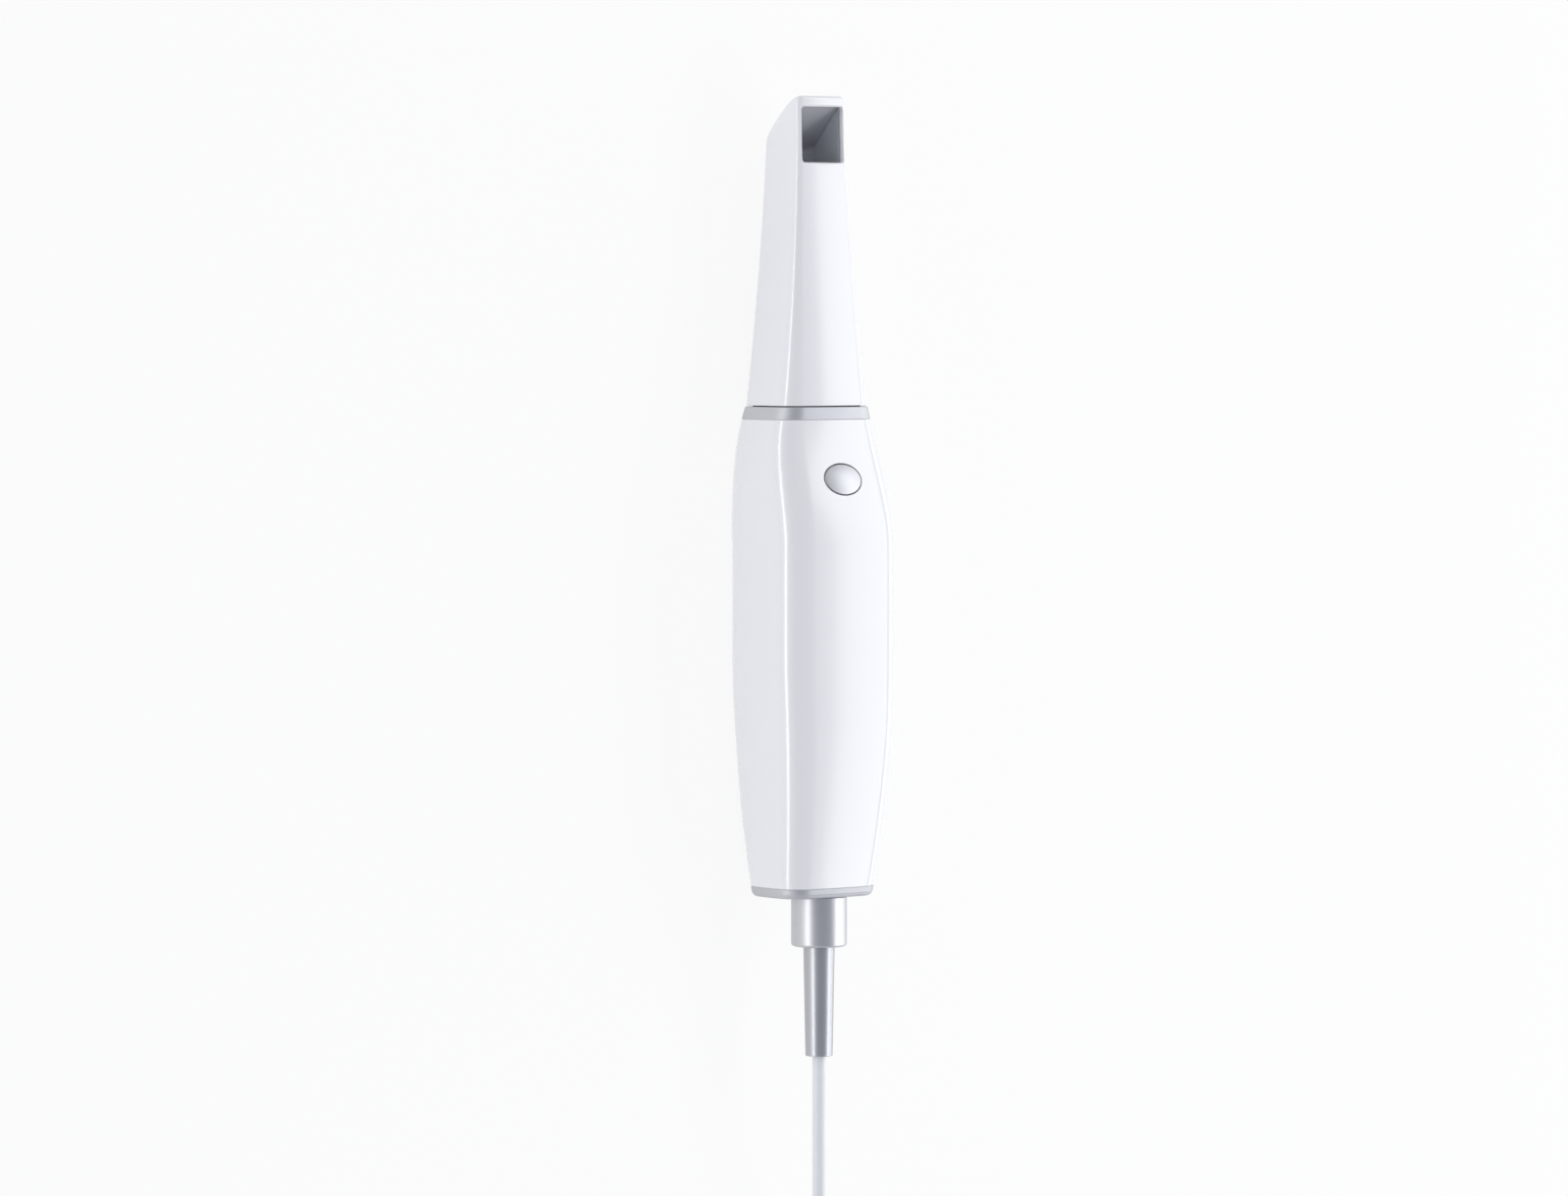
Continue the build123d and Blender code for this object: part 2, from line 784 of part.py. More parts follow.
# Buttons, their switch plungers, switches and boards
button_sides = [("front", front_button_plane, button_proud), ("back", back_button_plane, -button_recess)]
for side_name, button_plane, proud in button_sides:
    flange_top = sleeve_wall + flange_gap
    with BuildPart() as button_cap:
        with BuildSketch(button_plane.offset(proud)):
            Ellipse(button_width / 2, button_height / 2)
        extrude(amount=-flange_top - proud)
        with Locations(button_plane.offset(proud - dome_radius)):
            Sphere(dome_radius, mode=Mode.INTERSECT)
        fillet(button_cap.faces().filter_by(GeomType.SPHERE).edges(), button_edge)
        with BuildSketch(button_plane.offset(-flange_top)):
            Ellipse(button_width / 2 + button_flange_lip, button_height / 2 + button_flange_lip)
        extrude(amount=-button_flange)
        with BuildSketch(button_plane.offset(-flange_top - button_flange)):
            Circle(stem_radius)
        extrude(amount=-stem_length)
    save(button_cap, f"{side_name}_button")
    switch_plane = button_plane.offset(-switch_drop)
    with BuildPart() as plunger:
        with BuildSketch(switch_plane.offset(plunger_proud)):
            Circle(plunger_radius)
        extrude(amount=-plunger_proud - plunger_depth + button_travel + fit_gap)
    save(plunger, f"{side_name}_switch_plunger")
    with BuildPart() as switch:
        with BuildSketch(switch_plane):
            Rectangle(switch_side, switch_side)
        extrude(amount=-switch_height)
        with BuildSketch(switch_plane):
            Circle(plunger_radius + fit_gap)
        extrude(amount=-plunger_depth, mode=Mode.SUBTRACT)
    save(switch, f"{side_name}_switch")
    board_shift = (switch_board_front - switch_board_rear) / 2
    towards_nose = 1 if side_name == "front" else -1
    with BuildPart() as switch_board:
        with BuildSketch(button_plane.offset(-switch_board_drop)):
            with Locations((0, board_shift * towards_nose)):
                Rectangle(switch_board_width, switch_board_front + switch_board_rear)
        extrude(amount=-switch_board_thickness)
    save(switch_board, f"{side_name}_switch_board")

# Status light: a round lens in the back, a chip behind it and its board on two posts
light_flange_top = sleeve_wall + light_flange_gap
with BuildPart() as light_lens:
    with BuildSketch(light_plane.offset(-light_recess)):
        Circle(light_radius)
    extrude(amount=light_recess - light_flange_top)
    chamfer(light_lens.edges().group_by(Axis.Z)[0], light_chamfer)
    with BuildSketch(light_plane.offset(-light_flange_top)):
        Circle(light_radius + light_flange_lip)
    extrude(amount=-light_flange)
save(light_lens, "light_lens")

light_board_plane = Plane((0, light_y, axis_height + light_board_height), x_dir=(1, 0, 0), z_dir=(0, 0, -1))
with BuildPart() as light_board:
    with BuildSketch(light_board_plane):
        Rectangle(light_board_side, light_board_side)
    extrude(amount=light_board_thickness)
save(light_board, "light_board")

with BuildPart() as light_chip:
    with BuildSketch(light_board_plane.offset(light_board_thickness)):
        Rectangle(light_chip_side, light_chip_side)
    extrude(amount=light_chip_height)
save(light_chip, "light_chip")

# Gland screwed through the end cap, its nut, the strain relief and the lead inside them
lead_bore = cable_radius + fit_gap
with BuildPart() as cable_gland:
    add(disc(handle_length, gland_radius, gland_length))
    fillet(cable_gland.edges().group_by(Axis.Y)[0], gland_edge)
    add(disc(gland_front, stem_thread_radius, handle_length - gland_front))
    add(disc(gland_end - socket_depth, socket_radius + fit_gap, socket_depth), mode=Mode.SUBTRACT)
    add(disc(gland_front, lead_bore, gland_end - gland_front), mode=Mode.SUBTRACT)
save(cable_gland, "cable_gland")

with BuildPart() as gland_nut:
    with BuildSketch(cross_plane(nut_height - cap_plug_front)):
        RegularPolygon(nut_flats / 2, 6, major_radius=False)
        Circle(stem_thread_radius + fit_gap, mode=Mode.SUBTRACT)
    extrude(amount=nut_height)
save(gland_nut, "gland_nut")

with BuildPart() as strain_relief:
    add(disc(gland_end - socket_depth, socket_radius, socket_depth))
    with BuildSketch(cross_plane(-gland_end)):
        Circle(relief_start_radius)
    with BuildSketch(cross_plane(-tail_length)):
        Circle(relief_end_radius)
    loft()
    add(disc(gland_end - socket_depth, lead_bore, socket_depth + relief_length), mode=Mode.SUBTRACT)
save(strain_relief, "strain_relief")

lead_start = board_rear + lead_plug_length
with BuildPart() as inner_lead:
    add(disc(lead_start, cable_radius, tail_length - lead_start))
save(inner_lead, "inner_lead")


def tube_radii(points):
    """Bend radius at each corner of a route, as large as its two runs allow."""
    vectors = [Vector(*point) for point in points]
    runs = [after - before for before, after in zip(vectors, vectors[1:])]
    return [
        arc_share * min(first.length, second.length) / tan(radians(first.get_angle(second) / 2))
        for first, second in zip(runs, runs[1:])
    ]


def cable_tube(points):
    """Plain tube of the cable's size along a route of straight runs and tangent arcs."""
    radii = tube_radii(points)
    print("bend radii", [round(radius, 1) for radius in radii])
    with BuildPart() as tube:
        with BuildLine() as route:
            FilletPolyline(*points, radius=radii)
        path = route.wires()[0]
        with BuildSketch(Plane(path @ 0, z_dir=path % 0)):
            Circle(cable_radius)
        sweep(path=path)
    print("tube volume share", round(tube.part.volume / (pi * cable_radius**2 * path.length), 4))
    return tube


save(cable_tube(run_points), "cable_run")
save(cable_tube(tail_points), "cable_tail")

# Coil of the spare cable behind the wand, held by a tie
coil_half_width = coil_columns * turn_pitch / 2
coil_height = coil_layers * turn_pitch + tie_thickness * 2
coil_centre_x = run_points[-1][0] - coil_mid_radius - turn_pitch
coil_centre_y = run_points[-1][1]
coil_plane = Plane((coil_centre_x, coil_centre_y, 0), x_dir=(1, 0, 0), z_dir=(0, -1, 0))
tie_outer_width = coil_half_width * 2 + tie_thickness * 2
with BuildPart() as coil_tie:
    with BuildSketch(coil_plane.offset(-tie_width / 2)):
        with Locations((-coil_mid_radius, coil_height / 2)):
            RectangleRounded(tie_outer_width, coil_height, tie_corner)
            inner_height = coil_height - tie_thickness * 2
            inner_width = tie_outer_width - tie_thickness * 2
            RectangleRounded(inner_width, inner_height, tie_corner - tie_thickness, mode=Mode.SUBTRACT)
    extrude(amount=tie_width)
save(coil_tie, "coil_tie")

with BuildPart() as cable_coil:
    with BuildSketch(coil_plane):
        with Locations((coil_mid_radius, coil_height / 2)):
            RectangleRounded(coil_half_width * 2, coil_height, coil_edge)
    revolve(axis=Axis((coil_centre_x, coil_centre_y, 0), (0, 0, 1)))
    with BuildSketch(coil_plane.offset(-tie_width / 2 - fit_gap)):
        with Locations((-coil_mid_radius, coil_height / 2)):
            Rectangle(tie_outer_width * 2, coil_height * 2)
            notch_width = tie_outer_width - (tie_thickness + tie_corner) * 2
            notch_height = coil_height - (tie_thickness + fit_gap) * 2
            Rectangle(notch_width, notch_height, mode=Mode.SUBTRACT)
    extrude(amount=tie_width + fit_gap * 2, mode=Mode.SUBTRACT)
save(cable_coil, "cable_coil")

# Plug at the far end, lying on the surface past the coil
plug_x, plug_y, plug_z = tail_points[-1]
plug_plane = Plane((plug_x, plug_y, plug_z), x_dir=(1, 0, 0), z_dir=(0, -1, 0))
with BuildPart() as plug_relief:
    with BuildSketch(plug_plane):
        Circle(cable_radius + plug_shell_wall)
    with BuildSketch(plug_plane.offset(plug_relief_length)):
        Circle(plug_relief_radius)
    loft()
save(plug_relief, "plug_relief")

plug_face = plug_plane.offset(plug_relief_length + plug_body_length)
with BuildPart() as plug_body:
    with BuildSketch(plug_plane.offset(plug_relief_length)):
        RectangleRounded(plug_body_width, plug_body_height, plug_body_corner)
    extrude(amount=plug_body_length)
save(plug_body, "plug_body")

with BuildPart() as plug_shell:
    with BuildSketch(plug_face):
        Rectangle(plug_shell_width, plug_shell_height)
        inner_width = plug_shell_width - plug_shell_wall * 2
        inner_height = plug_shell_height - plug_shell_wall * 2
        Rectangle(inner_width, inner_height, mode=Mode.SUBTRACT)
    extrude(amount=plug_shell_length)
save(plug_shell, "plug_shell")

tongue_drop = (plug_shell_height - plug_tongue_height) / 2 - plug_shell_wall
with BuildPart() as plug_tongue:
    with BuildSketch(plug_face):
        with Locations((0, tongue_drop)):
            Rectangle(plug_shell_width - plug_shell_wall * 2, plug_tongue_height)
    extrude(amount=plug_shell_length - plug_tongue_setback)
save(plug_tongue, "plug_tongue")
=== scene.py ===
import json
import math

import bmesh
import bpy
from bpy.props import FloatProperty, FloatVectorProperty, PointerProperty
from mathutils import Matrix, Vector


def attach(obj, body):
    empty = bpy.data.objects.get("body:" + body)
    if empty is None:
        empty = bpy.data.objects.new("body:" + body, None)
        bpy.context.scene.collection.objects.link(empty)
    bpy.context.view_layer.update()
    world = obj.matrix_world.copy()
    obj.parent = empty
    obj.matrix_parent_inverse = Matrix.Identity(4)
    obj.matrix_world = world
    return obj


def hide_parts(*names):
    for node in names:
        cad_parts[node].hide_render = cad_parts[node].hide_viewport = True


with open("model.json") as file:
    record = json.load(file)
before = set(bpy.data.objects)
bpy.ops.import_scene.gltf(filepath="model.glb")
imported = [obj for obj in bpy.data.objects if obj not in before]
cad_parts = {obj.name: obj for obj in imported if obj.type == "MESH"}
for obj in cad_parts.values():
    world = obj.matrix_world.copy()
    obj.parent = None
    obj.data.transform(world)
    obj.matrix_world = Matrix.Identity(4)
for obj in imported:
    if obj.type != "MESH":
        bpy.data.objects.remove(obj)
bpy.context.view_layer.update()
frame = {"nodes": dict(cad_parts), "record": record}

bl_info = {
    "name": "Intraoral scanner",
    "version": (1, 0, 0),
    "blender": (4, 5, 0),
    "location": "View3D > Sidebar > Scanner",
    "description": "Models and finishes a handheld intraoral scanner around its packed solids",
    "category": "Add Mesh",
}

MM = 0.001
SAME_PLACE = 0.000001

# Handle section at the collar, where it is fullest and at the end cap, in mm from the cable axis
COLLAR = {"half_width": 15.2, "front": 6.7, "back": 17.75, "corner": 6.0}
BELLY = {"half_width": 19.9, "front": 14.3, "back": 19.3, "corner": 8.5}
END = {"half_width": 15.5, "front": 8.5, "back": 14.5, "corner": 6.8}
NOSE = {"half_width": 8.35, "front": 1.75, "back": 13.7, "corner": 1.8}
SWELL_AT = {"half_width": 45.0, "front": 38.0, "back": 22.0, "corner": 45.0}
TAPER_AT = {"half_width": 65.0, "front": 80.0, "back": 72.0, "corner": 65.0}
SWELL_POWER = 3
TAPER_POWER = 1.7
HANDLE_CROWN = 1.0
NOSE_CROWN = 0.3
TIP_STEP = 0.25
TIP_FLARE = {"half_width": 1.75, "front": 1.5, "back": 1.5, "corner": 2.5}
HANDLE_CORNER_LEAST = 0.6
TIP_CORNER_LEAST = 0.3
DOME_SHARE = 0.1
CORNER_SHARE = 0.42
CUT_BLEND = 2.0
AXIS_HEIGHT = 19.15
COLLAR_Y = 45.65

# Segments around a section, for the right half from the front's middle to the back's middle
FRONT_STEPS = 22
CORNER_STEPS = 16
SIDE_STEPS = 18
BACK_STEPS = 40

# Steps between the rings of a piece along the wand, in mm
SLEEVE_STEP = 1.0
GRIP_STEP = 0.4
SLEEVE_INNER_STEP = 4.0
COLLAR_STEP = 0.6
TIP_RING_STEP = 1.2
NOSE_RING_STEP = 0.35
NOSE_RINGS_FROM = 64.0
HOLLOW_STEP = 1.5

# Collar and end cap
PORT_INSET = 1.7
CAP_EDGE = 1.2
CAP_EDGE_STEPS = 8
CAP_BORE = 5.0

# Slanted, bulged nose of the tip and the hollow behind its window
SLANT_CENTRE = (33.606, 32.006)
SLANT_RADIUS = 60.0
SLANT_BLEND = 1.1
NOSE_ROUND = 0.9
NOSE_SIDE_ROUND = 2.0
NOSE_STEPS = 10
TIP_WALL = 1.3
TIP_GAP = 0.3
TIP_MOUTH = 0.5
TIP_SMOOTH = 40.0
WINDOW_CORNER = 1.0
WINDOW_CHAMFER = 0.5
WINDOW_FLARE = 2.0
WINDOW_FLOOR = -1.0
INNER_END = 82.1
INNER_CORNER = 0.6
SQUARE_START = 56.0
SQUARE_RUN = 8.0

# Lining of the tip
SHIELD_START = 46.6
SHIELD_END = 81.6
SHIELD_INSET = 1.42
SHIELD_WALL = 0.16
SHIELD_RIM = 0.15
SHIELD_MOUTH = -1.6
SHIELD_CLEARANCE = 0.06

# Mirror plate, whose face and back cross the cable axis here and fall towards the collar at 45 degrees
MIRROR_FACE = 81.04
MIRROR_BACK = 82.46
MIRROR_FOOT = 70.55
MIRROR_SLOT = 1.2
MIRROR_HALF_WIDTH = 6.5

# Grip panels in the back
GRIP_START = 35.0
GRIP_SWEEP = 21.0
GRIP_MARGIN = (1.0, 2.0)
GRIP_CONTROL = 2.0
SPINE_HALF_WIDTH = 7.7
GRIP_FADE = (92.0, 122.0)
GRIP_FADE_OVER = 1.4
GRIP_SOFT = 0.9
GRIP_FACING_FROM = 0.1
GRIP_FACING_RUN = 0.7

# Buttons and status light
BUTTON_PLACE = 19.4
FRONT_TILT = 0.29131
BUTTON_GAP = 0.3
BUTTON_PROUD = 0.55
BUTTON_RECESS = 0.2
BUTTON_EDGE = 0.35
BUTTON_EDGE_STEPS = 6
BUTTON_DOME = 0.45
BUTTON_DOME_STEPS = 14
BUTTON_TOP = 0.01
BUTTON_DEPTH = 2.65
BUTTON_LIP = 1.3
BUTTON_FLANGE = 1.0
STEM_RADIUS = 2.0
STEM_LENGTH = 1.5
HOLE_DEPTH = 0.0042
LIGHT_PLACE = 98.7
LIGHT_RING = 0.25
LIGHT_RECESS = 0.25
LIGHT_RIM = 0.55

# Rings of the light's lens: mm outside its radius, then shares of its radius, each with mm above its face
LENS_RINGS = (
    (0.9, -3.05),
    (0.9, -2.25),
    (0.0, -2.25),
    (0.0, -0.1),
    (-0.12, 0.0),
    (-0.5, 0.0),
    (-0.6, -0.12),
    (-0.7, -0.04),
)
LENS_CROWN = ((0.5, 0.06), (0.02, 0.08))

# Gland and strain relief, in mm
GLAND_NECK = 4.9
GLAND_ROOT = 119.9
GLAND_CHAMFER = 0.2
GLAND_EDGE = 0.9
GLAND_EDGE_STEPS = 8
SOCKET_RADIUS = 5.3
SOCKET_DEPTH = 8.0
LEAD_BORE = 1.9
RELIEF_ROOT = 5.2
RELIEF_SHOULDER = 0.15
RELIEF_STEPS = 6
RELIEF_EDGE = 0.25
RELIEF_EDGE_STEPS = 4

# Route of the cable and the shape of its coil, in mm
RUN_POINTS = (
    (0.0, -129.55, 19.15),
    (0.0, -146.0, 19.15),
    (2.4, -164.0, 16.0),
    (7.2, -182.0, 9.9),
    (15.2, -198.0, 3.3),
    (17.5, -212.0, 2.4),
)
TAIL_POINTS = (
    (17.5, -212.0, 14.2),
    (17.5, -224.0, 13.6),
    (16.5, -237.0, 9.6),
    (14.0, -249.0, 4.2),
    (14.0, -260.0, 4.2),
)
COIL_CENTRE = (-7.9, -212.0)
COIL_RADII = (25.4, 21.5, 17.6)
COIL_LAYERS = 4
COIL_PITCH = 3.9
COIL_FLOOR = 2.5
TURN_POINTS = 20
CROSS_SHARE = 0.2

# Finishes: where a colour's drift starts and ends, and roughness by class in the record
DRIFT_ENDS = (0.3, 0.7)
METAL_ROUGHNESS = {"aluminium": 0.32, "brushed_steel": 0.32, "brass": 0.32, "painted_metal": 0.34}
PLASTIC_ROUGHNESS = {"gloss_plastic": 0.25, "matte_plastic": 0.5, "rubber": 0.6, "fabric": 0.85}

# Studio surround: height of the direction where it starts and ends to dim, and its colour overhead
HORIZON_FADE = (0.12, 0.5)
OVERHEAD = (0.43, 0.445, 0.485)
WHITE = (1.0, 1.0, 1.0)

# Soft boxes: name, compass direction and height in degrees, width in m and power in W
LAMPS = (
    ("key_right", 90.0, 44.0, 0.46, 7.2),
    ("low_right", 90.0, 14.0, 0.30, 3.0),
    ("strip_left", 270.0, 5.0, 0.13, 4.3),
)
LAMP_LENGTH = 1.8
LAMP_DISTANCE = 1.1
LAMP_TARGET = (0.0, 0.0, 0.02)

# Floor: its own colour, how much of its look is plain white, and how far below the wand it lies
FLOOR_COLOUR = (0.84, 0.84, 0.85)
FLOOR_WHITE_SHARE = 0.9
FLOOR_DROP = 0.0003
SENSOR_WIDTH = 36.0
VIEW_END = 50.0


def length(label, words, default):
    return FloatProperty(name=label, description=words, default=default, min=0.0, unit="LENGTH")


def colour(label, words, default):
    return FloatVectorProperty(
        name=label, description=words, default=default, size=3, min=0.0, max=1.0, subtype="COLOR"
    )


class ScannerSizes(bpy.types.PropertyGroup):
    tip_reach: length("Tip reach", "From the collar to the nose of the tip", 0.0839)
    collar_width: length("Collar width", "Width of the grey band behind the tip", 0.0034)
    sleeve_length: length("Sleeve length", "Length of the white handle", 0.126)
    sleeve_wall: length("Sleeve wall", "Wall of the handle", 0.0022)
    cap_band: length("Cap band", "Width of the grey band at the cable end", 0.0027)
    seam: length("Seam", "Rounding of the edges where two pieces meet", 0.00016)
    window_width: length("Window width", "Scan window across the tip", 0.014)
    window_length: length("Window length", "Scan window along the tip", 0.0151)
    window_inset: length("Window inset", "From the nose to the scan window", 0.0029)
    button_width: length("Button width", "Buttons across the wand", 0.0122)
    button_height: length("Button height", "Buttons along the wand", 0.0085)
    light_radius: length("Light radius", "Radius of the status light's lens", 0.00435)
    grip_depth: length("Grip depth", "Depth of the grip panels", 0.00055)
    gland_radius: length("Gland radius", "Radius of the cable gland", 0.00755)
    gland_length: length("Gland length", "Length of the cable gland", 0.0135)
    relief_length: length("Relief length", "Length of the strain relief", 0.0296)
    relief_start: length("Relief start radius", "Strain relief at the gland", 0.00425)
    relief_end: length("Relief end radius", "Strain relief at the cable", 0.0037)
    cable_diameter: length("Cable diameter", "Outer diameter of the cable", 0.0036)
    cable_length: length("Cable length", "From the strain relief to the plug", 1.74)


class ScannerColours(bpy.types.PropertyGroup):
    body: colour("Body", "White moulded housing", (0.86, 0.865, 0.885))
    band: colour("Bands", "Collar, end cap and gland", (0.55, 0.56, 0.585))
    relief: colour("Strain relief", "Moulded strain relief", (0.46, 0.47, 0.495))
    button: colour("Buttons", "Press buttons", (0.46, 0.47, 0.49))
    shield: colour("Light shield", "Inside of the tip", (0.60, 0.615, 0.65))
    # Mirror colour: a painted reflection, grey standing in for the shaded inside of the tip that the
    # mirror shows
    mirror: colour("Mirror", "Mirror behind the scan window", (0.46, 0.472, 0.50))
    cable: colour("Cable", "Jacket of the cable", (0.80, 0.81, 0.835))
    light: colour("Status light", "Lens of the status light", (0.60, 0.62, 0.66))
    light_rim: colour("Light rim", "Rim of the status light", (0.33, 0.345, 0.375))


class ScannerStage(bpy.types.PropertyGroup):
    turn: FloatProperty(
        name="Turn",
        description="How far the camera is turned about the wand from straight above",
        default=math.radians(37.5),
        subtype="ANGLE",
    )
    distance: length("Distance", "From the camera to the wand", 2.0)
    eye: length("Eye level", "Place of the camera along the wand", 0.0761)
    frame_width: length("Frame width", "Width of the frame at the wand", 0.4235)
    side_step: length("Side step", "From the frame's middle to the cable axis", 0.00945)
    drop: length("Frame drop", "From the eye level to the frame's middle", 0.0821)
    floor_size: length("Floor size", "Side of the floor", 8.0)


def sizes():
    return bpy.context.scene.scanner_sizes


def colours():
    return bpy.context.scene.scanner_colours


def mm(value):
    return value / MM


# Shape of the wand


def along(distance):
    """Y of a place this many mm in front of the collar face."""
    return COLLAR_Y + distance


def place(x, distance, height):
    """Point of the frame from mm across, along and above the cable axis."""
    return Vector((x, along(distance), AXIS_HEIGHT + height)) * MM


def circle_meeting(first, first_radius, second, second_radius, towards):
    """Point where two circles cross that lies furthest in a direction."""
    gap = second - first
    span = gap.length
    share = (first_radius**2 - second_radius**2 + span**2) / (2 * span)
    rise = math.sqrt(max(first_radius**2 - share**2, 0.0))
    middle = first + gap * (share / span)
    side = Vector((-gap.y, gap.x)) * (rise / span)
    return max((middle + side, middle - side), key=lambda point: point.dot(towards))


def arc(centre, start, end, steps):
    """Points of the shorter arc about a centre, without the last."""
    first, last = start - centre, end - centre
    turn = math.atan2(first.x * last.y - first.y * last.x, first.dot(last))
    radius = first.length
    opening = math.atan2(first.y, first.x)
    angles = (opening + turn * step / steps for step in range(steps))
    return [centre + Vector((math.cos(a), math.sin(a))) * radius for a in angles]


def section(half_width, front, back, front_corner, back_corner, crown):
    """Outline across the wand in mm: a rectangle with domed sides and round corners."""
    side, top, bottom = half_width - crown, front - crown, crown - back
    middle = (top + bottom) / 2
    rise = (top - bottom) / 2
    wide_radius = (side**2 + crown**2) / (2 * crown)
    tall_radius = (rise**2 + crown**2) / (2 * crown)
    front_centre = Vector((0.0, front - wide_radius))
    back_centre = Vector((0.0, wide_radius - back))
    side_centre = Vector((half_width - tall_radius, middle))
    upper = circle_meeting(
        front_centre, wide_radius - front_corner, side_centre, tall_radius - front_corner, Vector((1, 1))
    )
    lower = circle_meeting(
        back_centre, wide_radius - back_corner, side_centre, tall_radius - back_corner, Vector((1, -1))
    )
    front_end = front_centre + (upper - front_centre).normalized() * wide_radius
    side_start = side_centre + (upper - side_centre).normalized() * tall_radius
    side_end = side_centre + (lower - side_centre).normalized() * tall_radius
    back_start = back_centre + (lower - back_centre).normalized() * wide_radius
    half = arc(front_centre, Vector((0.0, front)), front_end, FRONT_STEPS)
    half += arc(upper, front_end, side_start, CORNER_STEPS)
    half += arc(side_centre, side_start, side_end, SIDE_STEPS)
    half += arc(lower, side_end, back_start, CORNER_STEPS)
    half += arc(back_centre, back_start, Vector((0.0, -back)), BACK_STEPS)
    half.append(Vector((0.0, -back)))
    return half + [Vector((-point.x, point.y)) for point in half[-2:0:-1]]


def handle_size(name, distance):
    """A size of the handle this many mm behind the collar face."""
    share = min(distance / SWELL_AT[name], 1.0)
    if name == "front":
        rise = smooth_step(share)
    else:
        rise = 1 - (1 - share) ** SWELL_POWER
    whole = mm(sizes().collar_width + sizes().sleeve_length + sizes().cap_band)
    fall = max(0.0, (distance - TAPER_AT[name]) / (whole - TAPER_AT[name])) ** TAPER_POWER
    swollen = (BELLY[name] - COLLAR[name]) * rise
    return COLLAR[name] + swollen - (BELLY[name] - END[name]) * fall


def handle_ring(distance, inset=0.0):
    """Section of the handle behind the collar, flat where the wand rests."""
    corner = max(handle_size("corner", distance) - inset, HANDLE_CORNER_LEAST)
    outline = section(
        handle_size("half_width", distance) - inset,
        handle_size("front", distance) - inset,
        handle_size("back", distance) - inset,
        corner,
        corner,
        HANDLE_CROWN,
    )
    return [Vector((point.x, -distance, max(point.y, -AXIS_HEIGHT))) for point in outline]


def smooth_step(share):
    """Share from 0 to 1 that leaves and arrives level."""
    share = min(max(share, 0.0), 1.0)
    return share * share * (3 - 2 * share)


def grip_share(x, distance):
    """How far a place on the back lies inside a grip panel, from 0 to 1."""
    behind = distance - GRIP_START
    if behind <= 0:
        return 0.0
    rest = GRIP_SWEEP - 2 * GRIP_CONTROL
    steer = (math.sqrt(GRIP_CONTROL**2 + rest * min(behind, GRIP_SWEEP)) - GRIP_CONTROL) / rest
    reach = BELLY["half_width"] - SPINE_HALF_WIDTH
    edge = SPINE_HALF_WIDTH + reach * (1 - steer) ** 2
    slope = 2 * reach * (1 - steer) / (2 * GRIP_CONTROL + 2 * rest * steer)
    inside = (abs(x) - edge) / math.hypot(1.0, slope)
    return smooth_step(inside / GRIP_SOFT)


def sink_grips(ring, distance):
    """Lowers the grip panels into a ring of the handle."""
    share = (distance - GRIP_FADE[0]) / (GRIP_FADE[1] - GRIP_FADE[0])
    depth = mm(sizes().grip_depth) * max(0.0, 1 - GRIP_FADE_OVER * min(max(share, 0.0), 1.0))
    count = len(ring)
    sunk = []
    for number, point in enumerate(ring):
        if point.z >= 0 or depth == 0:
            sunk.append(point)
            continue
        before, after = ring[number - 1], ring[(number + 1) % count]
        facing = abs(after.x - before.x) / math.hypot(after.x - before.x, after.z - before.z)
        down = smooth_step((facing - GRIP_FACING_FROM) / GRIP_FACING_RUN)
        lift = depth * grip_share(point.x, distance) * down
        sunk.append(Vector((point.x, point.y, point.z + lift)))
    return sunk


def tip_size(name, distance):
    """A size of the tip this many mm in front of the collar face."""
    share = max(0.0, 1 - distance / mm(sizes().tip_reach))
    return NOSE[name] + (COLLAR[name] - TIP_STEP - NOSE[name]) * share ** TIP_FLARE[name]


def soft_least(first, second, blend):
    """The smaller of two values, rounded where they meet."""
    mix = max(blend - abs(first - second), 0.0) / blend
    return min(first, second) - mix * mix * blend / 4


def round_fall(distance, end, radius):
    """How far a rounded edge has fallen back at a place near the end that it rounds."""
    over = min(max(distance - (end - radius), 0.0), radius)
    return radius - math.sqrt(radius**2 - over**2)


def tip_ring(distance, inset=0.0, slant=None):
    """Section of the tip in front of the collar; the slant cuts its back short near the nose."""
    reach = mm(sizes().tip_reach)
    crown_share = max(0.0, 1 - distance / reach) ** TIP_FLARE["half_width"]
    crown = NOSE_CROWN + (HANDLE_CROWN - NOSE_CROWN) * crown_share
    half_width = tip_size("half_width", distance) - inset
    front = tip_size("front", distance) - inset
    full_back = tip_size("back", distance) - inset
    back = full_back
    if slant:
        back = soft_least(full_back, slant(distance) - inset, SLANT_BLEND)
    if slant is outer_slant:
        half_width -= round_fall(distance, reach, NOSE_SIDE_ROUND)
        front -= round_fall(distance, reach, NOSE_ROUND)
        back -= round_fall(distance, reach, NOSE_ROUND)
    corner = max(tip_size("corner", distance) - inset, TIP_CORNER_LEAST)
    if slant is inner_slant:
        corner += (INNER_CORNER - corner) * smooth_step((distance - SQUARE_START) / SQUARE_RUN)
    depth = front + back
    crown = min(crown, depth * DOME_SHARE)
    front_corner = min(corner, depth * CORNER_SHARE)
    cut_share = smooth_step((full_back - back) / CUT_BLEND)
    back_corner = min(corner + (min(NOSE_ROUND, corner) - corner) * cut_share, depth * CORNER_SHARE)
    outline = section(half_width, front, back, front_corner, back_corner, crown)
    return [Vector((point.x, distance, point.y)) for point in outline]


def outer_slant(distance):
    """How far the bulged slant lies below the cable axis."""
    return math.sqrt(SLANT_RADIUS**2 - (distance - SLANT_CENTRE[0]) ** 2) - SLANT_CENTRE[1]


def inner_slant(distance):
    """Depth of the slant under the mirror before the wall of the tip is taken off."""
    return MIRROR_BACK + TIP_WALL - distance


